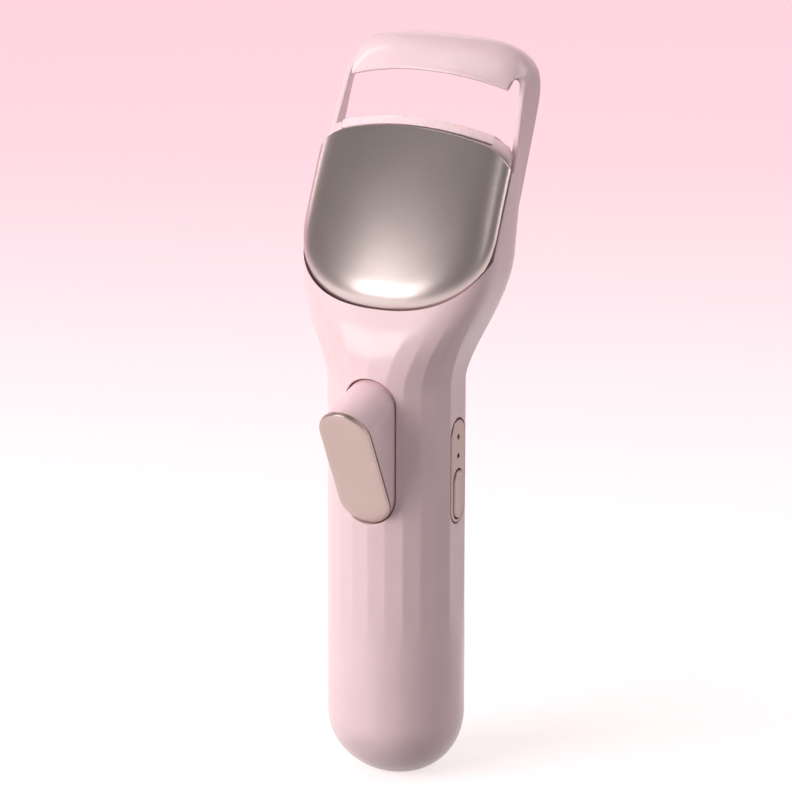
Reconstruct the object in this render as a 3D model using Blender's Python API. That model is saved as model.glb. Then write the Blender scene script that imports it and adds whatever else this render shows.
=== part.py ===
"""Heated eyelash curler: a trigger in the handle lifts the lower jaw against the crossbar of the hoop.

The frame: +Z up, the handle's front and its trigger face -Y, the control panel faces +X.
The origin is on the flat base of the handle. The head leans back, so its pieces are placed
with head(x, v, w): x across, v up along the lean, w forward out of the shield.
"""

import math

import bmesh
import bpy
import numpy as np

MM = 0.001

# Driving dimensions
HANDLE_R = 12.0 * MM
WALL = 1.6 * MM
GAP = 0.3 * MM
RUN = 0.08 * MM
BASE_R = 5.5 * MM
BASE_SHIFT = 1.4 * MM
FACET_START = 23.0 * MM
FACET_FULL = 34.0 * MM
FACET_FADE = 76.0 * MM
FACET_END = 87.0 * MM
FACETS_PER_TURN = 24
POINTS_PER_FACET = 2

NECK_START = 71.0 * MM
NECK_END = 93.0 * MM
HEAD_HALF = 18.0 * MM
HEAD_FOOT_Y = -10.0 * MM
HEAD_FOOT_Z = 86.5 * MM
LEAN = math.radians(27.0)
REAR_SLOPE = 0.12
REAR_START = 73.0 * MM
DECK_V = 27.0 * MM
LOFT_TOP = 116.0 * MM

# Shield
SHIELD_THICK = 1.1 * MM
SHIELD_ROLL = 1.9 * MM
SHIELD_ROLL_FROM = 0.84
SHIELD_PLAN_R = 50.0 * MM
SHIELD_CORNER_V = 16.0 * MM
SHIELD_TOP_V = 32.0 * MM
SHIELD_ARCH = 2.2 * MM
SHIELD_SHOULDER = 2.4 * MM
SHIELD_POWER = 2.4

# Hoop: the two arms and the crossbar
HOOP_HALF = HEAD_HALF - 0.1 * MM
HOOP_SPRING_V = 34.0 * MM
HOOP_RISE = 16.1 * MM
HOOP_POWER = 5.0
HOOP_THICK = 1.0 * MM
ARM_FRONT_W = -7.0 * MM
ARM_DEPTH = 5.3 * MM
ARM_FOOT_V = 22.0 * MM
ARM_TAPER = 1.7
NOTCH_FROM_V = 38.0 * MM
NOTCH_V = 43.0 * MM
NOTCH_IN = 0.9 * MM
LIP_HALF = 14.6 * MM
LIP_TURN = math.radians(50.0)
ARM_TURN = math.radians(76.0)
HOOP_SWELL = (2.2 * MM, 7.1 * MM, 2.1 * MM)
LASH_GAP = 8.3 * MM

# Lower jaw
JAW_FRONT_W = -1.6 * MM
JAW_PLAN_R = 38.0 * MM
JAW_ARCH = 1.3 * MM
JAW_TOP_V = 34.0 * MM
JAW_THICK = 3.2 * MM
PAD_HALF = 14.2 * MM
PAD_HEIGHT = 1.6 * MM
PLATE_HEIGHT = 0.8 * MM
JAW_STROKE = 8.0 * MM
BAR_HALF = 15.9 * MM
TONGUE_HALF = 9.0 * MM
TONGUE_FOOT_V = 6.5 * MM

# Trigger
OPENING_HALF = 4.95 * MM
OPENING_FOOT = 47.8 * MM
OPENING_TOP = 74.2 * MM
TRIGGER_Y = 4.1 * MM - HANDLE_R
TRIGGER_Z = 45.5 * MM
TRIGGER_SWING = math.radians(16.0)
FACE_FOOT_Y = -0.5 * MM - HANDLE_R
FACE_FOOT_Z = 48.6 * MM
FACE_TOP_Y = -12.8 * MM - HANDLE_R
FACE_TOP_Z = 71.3 * MM
CAP_THICK = 1.5 * MM

# Linkage
CRANK_R = 8.0 * MM
CRANK_V = 13.6 * MM
CRANK_W = -12.2 * MM
CRANK_TAIL = 3.7 * MM
PIN_R = 0.7 * MM
ROD_PIN_R = 0.6 * MM

# Control panel
PANEL_HALF = 2.75 * MM
PANEL_FOOT = 46.6 * MM
PANEL_TOP = 65.1 * MM
PANEL_FACE = HANDLE_R - 0.25 * MM
PANEL_THICK = 1.4 * MM
WINDOW_R = 0.45 * MM
BUTTON_HALF = 1.75 * MM
BUTTON_FOOT = 47.4 * MM
BUTTON_TOP = 56.0 * MM
BUTTON_TRAVEL = 0.4 * MM

# Boards
BOARD_LOW_X = PANEL_FACE - 5.55 * MM
BOARD_THICK = 1.2 * MM
BOARD_HALF = 5.5 * MM
BOARD_FOOT = 42.0 * MM
BOARD_TOP = 71.0 * MM
BOARD_SCREW_IN = 1.7 * MM

# Battery and charging
CELL_R = 6.8 * MM
CELL_FOOT = 12.5 * MM
CELL_TOP = 33.5 * MM
USB_Z = 8.5 * MM
USB_HALF_WIDTH = 4.47 * MM
USB_HALF_HEIGHT = 1.63 * MM
USB_MOUTH = HANDLE_R - 0.8 * MM
LEAD_X = CELL_R + 1.0 * MM
CHARGE_LEAD_X = CELL_R + 1.7 * MM

# Chassis in the head
CHASSIS_FRONT_W = -6.8 * MM
CHASSIS_THICK = 1.2 * MM
CHASSIS_SCREW_X = HEAD_HALF - 5.4 * MM
CHASSIS_SCREW_V = 17.0 * MM

LEAN_SIN = math.sin(LEAN)
LEAN_COS = math.cos(LEAN)


# ---------------------------------------------------------------- helpers

def clear_scene():
    for obj in list(bpy.data.objects):
        bpy.data.objects.remove(obj, do_unlink=True)


def material(name, colour, roughness, metallic=0.0):
    made = bpy.data.materials.get(name)
    if made:
        return made
    made = bpy.data.materials.new(name)
    made.use_nodes = True
    shader = made.node_tree.nodes["Principled BSDF"]
    shader.inputs["Base Color"].default_value = (*colour, 1.0)
    shader.inputs["Roughness"].default_value = roughness
    shader.inputs["Metallic"].default_value = metallic
    made.diffuse_color = (*colour, 1.0)
    return made


def pink():
    return material("pink_plastic", (0.86, 0.62, 0.66), 0.42)


def champagne():
    return material("champagne_metal", (0.60, 0.47, 0.43), 0.3, 0.9)


def steel():
    return material("steel", (0.62, 0.62, 0.63), 0.3, 1.0)


def silicone():
    return material("silicone", (0.93, 0.74, 0.77), 0.6)


def nylon():
    return material("nylon", (0.82, 0.81, 0.79), 0.55)


def board_green():
    return material("circuit_board", (0.05, 0.22, 0.12), 0.5)


def black_plastic():
    return material("black_plastic", (0.03, 0.03, 0.03), 0.5)


def head(x, v, w):
    """World point of a place in the leaning head."""
    return (
        x,
        HEAD_FOOT_Y + v * LEAN_SIN - w * LEAN_COS,
        HEAD_FOOT_Z + v * LEAN_COS + w * LEAN_SIN,
    )


def head_grid(grid):
    return [[head(*point) for point in row] for row in grid]


def mesh_object(name, vertices, faces, finish, origin=(0.0, 0.0, 0.0)):
    """One closed mesh with its faces turned outwards, its origin at the given world point."""
    mesh = bpy.data.meshes.new(name)
    mesh.from_pydata([tuple(np.subtract(v, origin)) for v in vertices], [], faces)
    shape = bmesh.new()
    shape.from_mesh(mesh)
    bmesh.ops.remove_doubles(shape, verts=shape.verts, dist=0.00001)
    bmesh.ops.recalc_face_normals(shape, faces=shape.faces)
    # Twisted faces are split, so that every Boolean works on flat ones.
    bmesh.ops.connect_verts_nonplanar(
        shape, angle_limit=math.radians(0.01), faces=[f for f in shape.faces if len(f.verts) == 4]
    )
    shape.to_mesh(mesh)
    shape.free()
    obj = bpy.data.objects.new(name, mesh)
    obj.location = origin
    bpy.context.scene.collection.objects.link(obj)
    if finish:
        mesh.materials.append(finish)
        mesh.shade_smooth()
        mesh.set_sharp_from_angle(angle=math.radians(35.0))
    return obj


def loft(name, rings, finish, origin=(0.0, 0.0, 0.0)):
    """A tube through rings of equal length, with both ends closed."""
    count = len(rings[0])
    vertices = [point for ring in rings for point in ring]
    faces = []
    for level in range(len(rings) - 1):
        for i in range(count):
            j = (i + 1) % count
            low = level * count
            faces.append((low + i, low + j, low + count + j, low + count + i))
    faces.append(tuple(range(count - 1, -1, -1)))
    top = (len(rings) - 1) * count
    faces.append(tuple(range(top, top + count)))
    return mesh_object(name, vertices, faces, finish, origin)


def sheet_solid(name, front, back, finish, origin=(0.0, 0.0, 0.0), sewn_start=False):
    """A plate between two equal grids of points, with its four edges closed. A sewn start is a
    first row that runs out and back along one line, so it needs no wall."""
    rows, columns = len(front), len(front[0])
    vertices = [p for row in front for p in row] + [p for row in back for p in row]
    size = rows * columns
    faces = []
    for r in range(rows - 1):
        for c in range(columns - 1):
            a = r * columns + c
            quad = (a, a + 1, a + columns + 1, a + columns)
            faces.append(quad)
            faces.append(tuple(size + i for i in reversed(quad)))
    rim = [] if sewn_start else list(range(columns))
    rim += [r * columns + columns - 1 for r in range(0 if sewn_start else 1, rows)]
    rim += [(rows - 1) * columns + c for c in range(columns - 2, -1, -1)]
    rim += [r * columns for r in range(rows - 2, -1, -1)]
    for here, there in zip(rim, rim[1:]):
        faces.append((here, there, size + there, size + here))
    return mesh_object(name, vertices, faces, finish, origin)


def prism(name, outline, x_low, x_high, finish, origin=(0.0, 0.0, 0.0)):
    """An outline of (y, z) points extruded across the body."""
    rings = [[(x, y, z) for y, z in outline] for x in (x_low, x_high)]
    return loft(name, rings, finish, origin)


def frame_of(start, end):
    """Two unit vectors square to the line from start to end, and its direction."""
    along = np.subtract(end, start)
    along = along / np.linalg.norm(along)
    helper = np.array((1.0, 0.0, 0.0)) if abs(along[0]) < 0.8 else np.array((0.0, 1.0, 0.0))
    side = np.cross(along, helper)
    side = side / np.linalg.norm(side)
    return side, np.cross(along, side), along


def rod(name, start, end, radius, finish, sides=20, origin=(0.0, 0.0, 0.0), radii=None):
    """A turned piece: a plain cylinder, or one with (share of length, radius) steps."""
    side, across, along = frame_of(start, end)
    length = np.linalg.norm(np.subtract(end, start))
    steps = radii or ((0.0, radius), (1.0, radius))
    rings = []
    for share, step_radius in steps:
        centre = np.add(start, along * share * length)
        rings.append([
            tuple(centre + step_radius * (
                side * math.cos(2 * math.pi * i / sides) + across * math.sin(2 * math.pi * i / sides)
            ))
            for i in range(sides)
        ])
    return loft(name, rings, finish, origin)


def block(name, low, high, finish, origin=(0.0, 0.0, 0.0), place=None):
    """A box from its low corner to its high corner, in world axes or in those of the head."""
    corners = [(x, y, z) for z in (low[2], high[2]) for x, y in (
        (low[0], low[1]), (high[0], low[1]), (high[0], high[1]), (low[0], high[1])
    )]
    if place:
        corners = [place(*corner) for corner in corners]
    return loft(name, [corners[:4], corners[4:]], finish, origin)


def helper(obj):
    """Marks a cutter or another helper, which is no piece of the object."""
    obj.hide_render = True
    obj.display_type = "WIRE"
    obj.hide_set(True)
    return obj


def combine(target, other, operation):
    step = target.modifiers.new(operation.lower(), "BOOLEAN")
    step.operation = operation
    step.object = helper(other)
    step.solver = "EXACT"
    return target


def cut(target, other):
    return combine(target, other, "DIFFERENCE")


def join(target, other):
    return combine(target, other, "UNION")


def capsule(half, foot, top, steps=10):
    """Outline of an upright slot with round ends, as (across, z) points."""
    low, high = foot + half, top - half
    right = [
        (half * math.cos(math.pi * i / steps), high + half * math.sin(math.pi * i / steps))
        for i in range(steps + 1)
    ]
    left = [
        (-half * math.cos(math.pi * i / steps), low - half * math.sin(math.pi * i / steps))
        for i in range(steps + 1)
    ]
    return right + left


def eased(share):
    share = min(1.0, max(0.0, share))
    return share * share * (3.0 - 2.0 * share)


# ---------------------------------------------------------------- casing form

def front_line(z):
    """Y of the casing's front at x = 0: upright, then leaning with the head."""
    slope = math.tan(LEAN)
    leaning_at_foot = HEAD_FOOT_Y + SHIELD_ROLL / LEAN_COS
    meet = HEAD_FOOT_Z + (-HANDLE_R - leaning_at_foot) / slope
    reach = 5.0 * MM
    if z <= meet - reach:
        return -HANDLE_R
    if z >= meet + reach:
        return leaning_at_foot + slope * (z - HEAD_FOOT_Z)
    return -HANDLE_R + slope * (z - meet + reach) ** 2 / (4.0 * reach)


def rear_line(z):
    return HANDLE_R + REAR_SLOPE * max(0.0, z - REAR_START)


def body_ring(z, inset):
    """One level of the casing, drawn in by inset, as points counted from the front."""
    spread = eased((z - NECK_START) / (NECK_END - NECK_START))
    half = HANDLE_R + (HEAD_HALF - HANDLE_R) * spread
    front, rear = front_line(z), rear_line(z)
    middle = 0.5 * (front + rear)
    front_power = 2.0 + 2.0 * eased((z - NECK_START) / (NECK_END - NECK_START))
    rear_power = 2.0 + 2.0 * eased((z - NECK_START) / (0.6 * (NECK_END - NECK_START)))
    scale, shift = 1.0, 0.0
    crown = math.sqrt(HANDLE_R ** 2 - BASE_R ** 2)
    if z < crown:
        scale = math.sqrt((HANDLE_R - inset) ** 2 - (crown - z) ** 2) / (HANDLE_R - inset)
        shift = BASE_SHIFT * (1.0 - z / crown) ** 2
    half_in, front_in, rear_in = half - inset, middle - front - inset, rear - middle - inset
    facet = eased((z - FACET_START) / (FACET_FULL - FACET_START))
    facet *= 1.0 - eased((z - FACET_FADE) / (FACET_END - FACET_FADE))
    count = FACETS_PER_TURN * POINTS_PER_FACET
    points = []
    for i in range(count):
        angle = 2.0 * math.pi * i / count
        sine, cosine = math.sin(angle), math.cos(angle)
        power = front_power if cosine > 0.0 else rear_power
        depth = front_in if cosine > 0.0 else rear_in
        x = half_in * math.copysign(abs(sine) ** (2.0 / power), sine)
        y = middle - depth * math.copysign(abs(cosine) ** (2.0 / power), cosine)
        points.append(np.array((x * scale, (y - middle) * scale + middle + shift, z)))
    return [tuple(p) for p in flatten_facets(points, facet)]


def flatten_facets(points, share):
    """Moves the points between two facet corners towards the flat between them. Each side has
    one double facet, which carries the control panel."""
    count = len(points)
    corners = list(range(0, count, POINTS_PER_FACET))
    side = count // 4
    corners = [c for c in corners if c not in (side, count - side)]
    flat = list(points)
    for here, there in zip(corners, corners[1:] + [corners[0] + count]):
        for i in range(here + 1, there):
            t = (i - here) / (there - here)
            on_flat = points[here] * (1.0 - t) + points[there % count] * t
            flat[i % count] = points[i % count] * (1.0 - share) + on_flat * share
    return flat


def body_levels(inset):
    crown = math.sqrt(HANDLE_R ** 2 - BASE_R ** 2)
    foot_angle = math.acos(min(1.0, (crown - inset) / (HANDLE_R - inset)))
    dome = [
        crown - (HANDLE_R - inset) * math.cos(foot_angle + (math.pi / 2 - foot_angle) * i / 6)
        for i in range(7)
    ]
    handle = [FACET_START, FACET_FULL, 72.0 * MM]
    neck = [z * MM for z in range(75, 97, 3)]
    top = [100.0 * MM, 106.0 * MM, LOFT_TOP]
    return dome + handle + neck + top


def parting_outline():
    """(y, z) outline of the space that belongs to the rear cover."""
    line = (
        (5.5, -5.0), (5.5, 70.0), (8.8, 84.0), (11.8, 97.0), (13.3, 104.6), (15.5, 120.0)
    )
    points = [(y * MM, z * MM) for y, z in line]
    far = 60.0 * MM
    return points + [(far, points[-1][1]), (far, points[0][1])]


def casing_shell(name, finish):
    outer = loft(name, [body_ring(z, 0.0) for z in body_levels(0.0)], finish)
    inner = loft(name + "_hollow", [body_ring(z, WALL) for z in body_levels(WALL)], None)
    reach = 60.0 * MM
    cut(inner, block(
        name + "_deck_room", (-reach, DECK_V - WALL, -reach), (reach, reach * 2, reach), None,
        place=head,
    ))
    cut(outer, inner)
    cut(outer, block(
        name + "_above_deck", (-reach, DECK_V, -reach), (reach, reach * 2, reach), None, place=head,
    ))
    return outer


# ---------------------------------------------------------------- shield

def shield_plan(x):
    return -x * x / (2.0 * SHIELD_PLAN_R)


def shield_reach(ring):
    """0 up to the line where the rim starts to roll back, then rising to 1 at the edge."""
    return min(1.0, max(0.0, (ring - SHIELD_ROLL_FROM) / (1.0 - SHIELD_ROLL_FROM)))


def shield_roll(ring):
    return SHIELD_ROLL * (1.0 - math.sqrt(1.0 - shield_reach(ring) ** 2))


def shield_top(x, grow=0.0):
    share = x / HEAD_HALF
    return SHIELD_TOP_V + grow - SHIELD_ARCH * share ** 2 - SHIELD_SHOULDER * share ** 8


def shield_point(ring, along, grow=0.0):
    """(x, v) on one of the nested U lines: ring runs from 0 on the middle line to 1 at the edge,
    along from 0 at the top left, round the bottom, to 1 at the top right."""
    half = (HEAD_HALF + grow) * ring
    drop = (SHIELD_CORNER_V + grow) * ring
    if 0.25 <= along <= 0.75:
        angle = math.pi * (along - 0.25) / 0.5
        x = -half * math.copysign(abs(math.cos(angle)) ** (2.0 / SHIELD_POWER), math.cos(angle))
        v = SHIELD_CORNER_V - drop * abs(math.sin(angle)) ** (2.0 / SHIELD_POWER)
        return x, v
    x = -half if along < 0.25 else half
    share = abs(along - 0.5) * 4.0 - 1.0
    return x, SHIELD_CORNER_V + (shield_top(x, grow) - SHIELD_CORNER_V) * share


def shield_grid(rings, steps, depth, inset):
    grid = []
    for ring in rings:
        row = []
        for i in range(steps + 1):
            x, v = shield_point(ring * (1.0 - inset / HEAD_HALF), i / steps)
            thick = depth * (1.0 - shield_reach(ring) ** 4)
            row.append(head(x, v, shield_plan(x) - shield_roll(ring) - thick))
        grid.append(row)
    return grid


def face_shield():
    # The innermost line is walked down and up again, so its two halves are sewn together.
    rings = (0.0, 0.3, 0.6, 0.84, 0.9, 0.95, 0.98, 1.0)
    steps = 28
    front = shield_grid(rings, steps, 0.0, 0.0)
    back = shield_grid(rings, steps, SHIELD_THICK, SHIELD_THICK)
    sheet_solid("face_shield", front, back, champagne(), sewn_start=True)


def shield_pocket():
    """The room that the shield and the jaw behind it take out of the casing's front."""
    steps = 28
    outline = [shield_point(1.0, i / steps, GAP) for i in range(steps + 1)]
    top = 60.0 * MM
    outline = [(outline[0][0], top)] + outline + [(outline[-1][0], top)]
    side_w = shield_plan(HEAD_HALF) - SHIELD_ROLL - GAP
    rings = []
    for w in (side_w, 40.0 * MM):
        rings.append([head(x, v, w) for x, v in outline])
    return loft("shield_pocket", rings, None)


# ---------------------------------------------------------------- hoop

def jaw_plan(x):
    return -x * x / (2.0 * JAW_PLAN_R)


def jaw_arch(x):
    return -JAW_ARCH * (x / PAD_HALF) ** 2


def hoop_line(turn, depth):
    """(x, v) of the hoop's rear edge: turn is the angle from the top in radians, and past a
    quarter turn the line runs down the arm. depth is counted inwards through the strip."""
    side = math.copysign(1.0, turn)
    half = HOOP_HALF - depth
    angle = abs(turn)
    if angle > math.pi / 2:
        foot_share = (angle - math.pi / 2) / (math.pi / 4)
        return side * half, HOOP_SPRING_V - (HOOP_SPRING_V - ARM_FOOT_V) * foot_share
    x = half * abs(math.sin(angle)) ** (2.0 / HOOP_POWER)
    v = HOOP_SPRING_V + (HOOP_RISE - depth) * max(0.0, math.cos(angle)) ** (2.0 / HOOP_POWER)
    return side * x, v


def hoop_section(turn, depth, steps):
    """The hoop's strip at one place, from its rear edge to its front edge. Over the top the
    front edge is the lip above the lashes, and down the sides it is the arm's front."""
    side = math.copysign(1.0, turn)
    x, v = hoop_line(turn, depth)
    rear = np.array((x, v, ARM_FRONT_W - ARM_DEPTH + ARM_TAPER * depth))
    lip_x = LIP_HALF * min(1.0, abs(x) / abs(hoop_line(LIP_TURN, depth)[0]))
    lip = np.array((
        side * lip_x,
        JAW_TOP_V + LASH_GAP + jaw_arch(lip_x),
        JAW_FRONT_W + jaw_plan(lip_x) - 1.1 * depth,
    ))
    notch = eased((v - NOTCH_FROM_V) / (NOTCH_V - NOTCH_FROM_V))
    arm = np.array((x - side * NOTCH_IN * notch, v, ARM_FRONT_W))
    share = min(1.0, max(0.0, (abs(turn) - LIP_TURN) / (ARM_TURN - LIP_TURN)))
    front = lip * (1.0 - share) + arm * share
    swell = math.cos(0.5 * math.pi * min(1.0, abs(turn) / ARM_TURN))
    bulge = np.array((side * HOOP_SWELL[0] * math.sin(abs(turn)), HOOP_SWELL[1], HOOP_SWELL[2]))
    bulge[1] -= 0.85 * depth
    middle = 0.5 * (rear + front) + bulge * swell
    line = []
    for i in range(steps + 1):
        t = i / steps
        line.append(rear * (1 - t) ** 2 + middle * 2 * t * (1 - t) + front * t * t)
    return line


def hoop_solid():
    half_turns = (
        -135, -105, -90, -88.5, -86, -83, -79.5, -76, -70, -63, -56, -50, -44, -37, -29, -20, -10
    )
    turns = [math.radians(a) for a in half_turns]
    turns += [0.0] + [-t for t in reversed(turns)]
    outer, inner = (
        head_grid([hoop_section(t, depth, 7) for t in turns]) for depth in (0.0, HOOP_THICK)
    )
    return sheet_solid("hoop", outer, inner, None)


# ---------------------------------------------------------------- lower jaw

def jaw_bar(name, half, low, high, front, back, finish, origin=(0.0, 0.0, 0.0), columns=16):
    """A bar that follows the jaw's curve: low and high are heights above the arched jaw line."""
    xs = np.linspace(-half, half, columns + 1)
    grids = []
    for depth in (front, back):
        grids.append([
            [head(x, JAW_TOP_V + jaw_arch(x) + rise, JAW_FRONT_W + jaw_plan(x) - depth) for x in xs]
            for rise in (low, high)
        ])
    return sheet_solid(name, grids[0], grids[1], finish, origin)


def jaw_origin():
    return head(0.0, JAW_TOP_V, JAW_FRONT_W - JAW_THICK / 2)


def jaw_pad():
    jaw_bar(
        "jaw_pad", PAD_HALF, -PAD_HEIGHT, 0.0, 0.0, JAW_THICK, silicone(), jaw_origin(), 20
    )


def heating_plate():
    side = 0.7 * MM
    top = -PAD_HEIGHT - GAP
    jaw_bar(
        "heating_plate", PAD_HALF - 1.2 * MM, top - PLATE_HEIGHT, top, side, JAW_THICK - side,
        steel(), jaw_origin(), 16,
    )


def jaw_carriage():
    """Bar with rounded shoulders and a thin wing in front of each arm, a tongue that slides
    behind the shield, and the yoke that the crank lifts."""
    shoulders = (
        (PAD_HALF + GAP, -0.35 * MM), (15.4 * MM, -0.45 * MM), (BAR_HALF, -0.65 * MM),
    )
    wings = (
        (BAR_HALF + 0.1 * MM, -0.7 * MM), (16.6 * MM, -1.1 * MM), (17.1 * MM, -1.6 * MM),
        (17.35 * MM, -2.6 * MM),
    )
    seat = -PAD_HEIGHT - GAP
    side = [(PAD_HALF, seat)] + list(shoulders + wings)
    middle = [(x, seat) for x in np.linspace(-PAD_HALF, PAD_HALF, 13)[1:-1]]
    columns = [(-x, rise) for x, rise in reversed(side)] + middle + side
    grids = []
    for back in (False, True):
        foot_line, top_line = [], []
        for x, rise in columns:
            wing = abs(x) > BAR_HALF
            front_w = JAW_FRONT_W + jaw_plan(x)
            back_w = ARM_FRONT_W + GAP if wing else front_w - JAW_THICK
            w = back_w if back else front_w
            foot = DECK_V + 0.5 * MM if wing else DECK_V - 0.4 * MM
            foot_line.append(head(x, foot, w))
            top_line.append(head(x, JAW_TOP_V + jaw_arch(x) + rise, w))
        grids.append([foot_line, top_line])
    body = sheet_solid("jaw_carriage", grids[0], grids[1], pink(), jaw_origin())
    foot = DECK_V - 0.4 * MM
    tongue_xs = np.linspace(-TONGUE_HALF, TONGUE_HALF, 9)
    tongue = []
    for depth in (0.0, JAW_THICK):
        tongue.append([
            [head(x, v, JAW_FRONT_W + jaw_plan(x) - depth) for x in tongue_xs]
            for v in (TONGUE_FOOT_V, foot + 1.0 * MM)
        ])
    join(body, sheet_solid("tongue", tongue[0], tongue[1], None))
    yoke_v, yoke_w = yoke_place(0.0)
    ear_out, ear_in = 3.6 * MM, 1.6 * MM
    ear_back = yoke_w - 2.2 * MM
    reach = 2.1 * MM
    join(body, block(
        "yoke_ears", (-ear_out, yoke_v - reach, ear_back), (ear_out, yoke_v + reach, -4.0 * MM),
        None, place=head,
    ))
    slot = PIN_R + RUN * 2
    slot_front = CRANK_W + CRANK_R + PIN_R + GAP
    cut(body, block(
        "yoke_slot", (-2 * ear_out, yoke_v - slot, 2 * ear_back),
        (2 * ear_out, yoke_v + slot, slot_front), None, place=head,
    ))
    window = 3.2 * MM
    cut(body, block(
        "crank_window", (-ear_in, yoke_v - window, 2 * ear_back),
        (ear_in, yoke_v + window, slot_front + 0.5 * MM), None, place=head,
    ))
    plate_side = 0.4 * MM
    top = seat
    cut(body, jaw_bar(
        "plate_groove", PAD_HALF - 1.2 * MM + GAP, top - PLATE_HEIGHT - 2 * GAP, top + 3 * MM,
        plate_side, JAW_THICK - plate_side, None,
    ))


# ---------------------------------------------------------------- linkage

def crank_swing():
    return 2.0 * math.asin(JAW_STROKE / 2.0 / CRANK_R)


def yoke_place(share):
    """(v, w) of the yoke pin when the crank has made this share of its swing."""
    angle = -crank_swing() / 2.0 + crank_swing() * share
    return CRANK_V + CRANK_R * math.sin(angle), CRANK_W + CRANK_R * math.cos(angle)


def crank_axis():
    return head(0.0, CRANK_V, CRANK_W)


def upper_pin():
    """The rod's upper pin at rest: half the swing above the level through the crank pin."""
    _, y, z = crank_axis()
    angle = crank_swing() / 2.0
    return (0.0, y + CRANK_TAIL * math.cos(angle), z + CRANK_TAIL * math.sin(angle))


def trigger_tail():
    """Length of the trigger's tail that moves the rod as far as the crank's tail needs."""
    return CRANK_TAIL * math.sin(crank_swing() / 2.0) / math.sin(TRIGGER_SWING / 2.0)


def lower_pin():
    angle = TRIGGER_SWING / 2.0
    reach = trigger_tail()
    return (0.0, TRIGGER_Y + reach * math.cos(angle), TRIGGER_Z + reach * math.sin(angle))


def trigger_axis():
    return (0.0, TRIGGER_Y, TRIGGER_Z)


def pin(name, centre, radius, half, origin):
    side = np.array((half, 0.0, 0.0))
    return rod(name, np.subtract(centre, side), np.add(centre, side), radius, steel(), 16, origin)


def cross_hole(target, centre, radius, name, half=30.0 * MM):
    side = np.array((half, 0.0, 0.0))
    cut(target, rod(name, np.subtract(centre, side), np.add(centre, side), radius, None, 16))


def bar_outline(start, end, half):
    """(y, z) outline of a bar with square ends between two world points."""
    along = np.subtract(end, start)[1:]
    along = along / np.linalg.norm(along)
    square = np.array((-along[1], along[0])) * half
    a, b = np.array(start[1:]), np.array(end[1:])
    return [tuple(p) for p in (a + square, a - square, b - square, b + square)]


def boss(name, centre, radius, x_low, x_high, finish=None, origin=(0.0, 0.0, 0.0), sides=20):
    low = (x_low, centre[1], centre[2])
    high = (x_high, centre[1], centre[2])
    return rod(name, low, high, radius, finish, sides, origin)


def bell_crank():
    axis = crank_axis()
    hub_half, hub_r = 3.9 * MM, 1.6 * MM
    arm_half, eye_r = 1.25 * MM, 1.3 * MM
    fork_in, fork_out = 1.5 * MM, 2.6 * MM
    yoke = head(0.0, *yoke_place(0.0))
    crank = boss("bell_crank", axis, hub_r, -hub_half, hub_half, nylon(), axis)
    join(crank, prism("crank_arm", bar_outline(axis, yoke, 1.1 * MM), -arm_half, arm_half, None))
    join(crank, boss("crank_eye", yoke, eye_r, -arm_half, arm_half, sides=16))
    tail = upper_pin()
    for side in (-1.0, 1.0):
        low, high = sorted((side * fork_in, side * fork_out))
        mark = "left" if side < 0 else "right"
        join(crank, prism("tail_" + mark, bar_outline(axis, tail, 1.0 * MM), low, high, None))
        join(crank, boss("tail_eye_" + mark, tail, 1.2 * MM, low, high, sides=16))
    cross_hole(crank, axis, PIN_R + RUN, "crank_bore")
    cross_hole(crank, yoke, PIN_R + RUN / 2, "yoke_bore")
    cross_hole(crank, tail, ROD_PIN_R + RUN / 2, "tail_bore")
    pin("yoke_pin", yoke, PIN_R, 3.3 * MM, axis)
    pin("upper_rod_pin", tail, ROD_PIN_R, 2.5 * MM, axis)
    pin("crank_pin", axis, PIN_R, 5.8 * MM, axis)


def pull_rod():
    start, end = lower_pin(), upper_pin()
    play = 0.2 * MM
    end = (end[0], end[1] + play, end[2])
    half = 1.1 * MM
    link = prism("pull_rod", bar_outline(start, end, 0.9 * MM), -half, half, steel(), start)
    join(link, boss("rod_foot", start, 1.5 * MM, -half, half, sides=18))
    join(link, boss("rod_head", end, 1.7 * MM, -half, half, sides=18))
    cross_hole(link, start, ROD_PIN_R + RUN, "rod_foot_bore")
    cross_hole(link, end, ROD_PIN_R + play + 2 * RUN, "rod_head_bore")
    pin("lower_rod_pin", start, ROD_PIN_R, 2.6 * MM, trigger_axis())


# ---------------------------------------------------------------- trigger

def face_y(z, depth=0.0):
    """Y of the trigger's face at a height, with depth measured square into it."""
    slope = (FACE_TOP_Y - FACE_FOOT_Y) / (FACE_TOP_Z - FACE_FOOT_Z)
    return FACE_FOOT_Y + slope * (z - FACE_FOOT_Z) + depth * math.hypot(1.0, slope)


def face_ring(inset, depth):
    half = OPENING_HALF - GAP - inset
    outline = capsule(half, OPENING_FOOT + GAP + inset, FACE_TOP_Z - inset)
    return [(x, face_y(z, depth), z) for x, z in outline]


def trigger_cap():
    rings = [
        face_ring(0.25 * MM, CAP_THICK),
        face_ring(0.0, CAP_THICK - 0.25 * MM),
        face_ring(0.0, 0.8 * MM),
        face_ring(0.35 * MM, 0.3 * MM),
        face_ring(1.2 * MM, 0.0),
    ]
    loft("trigger_cap", rings, champagne(), trigger_axis())


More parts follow.
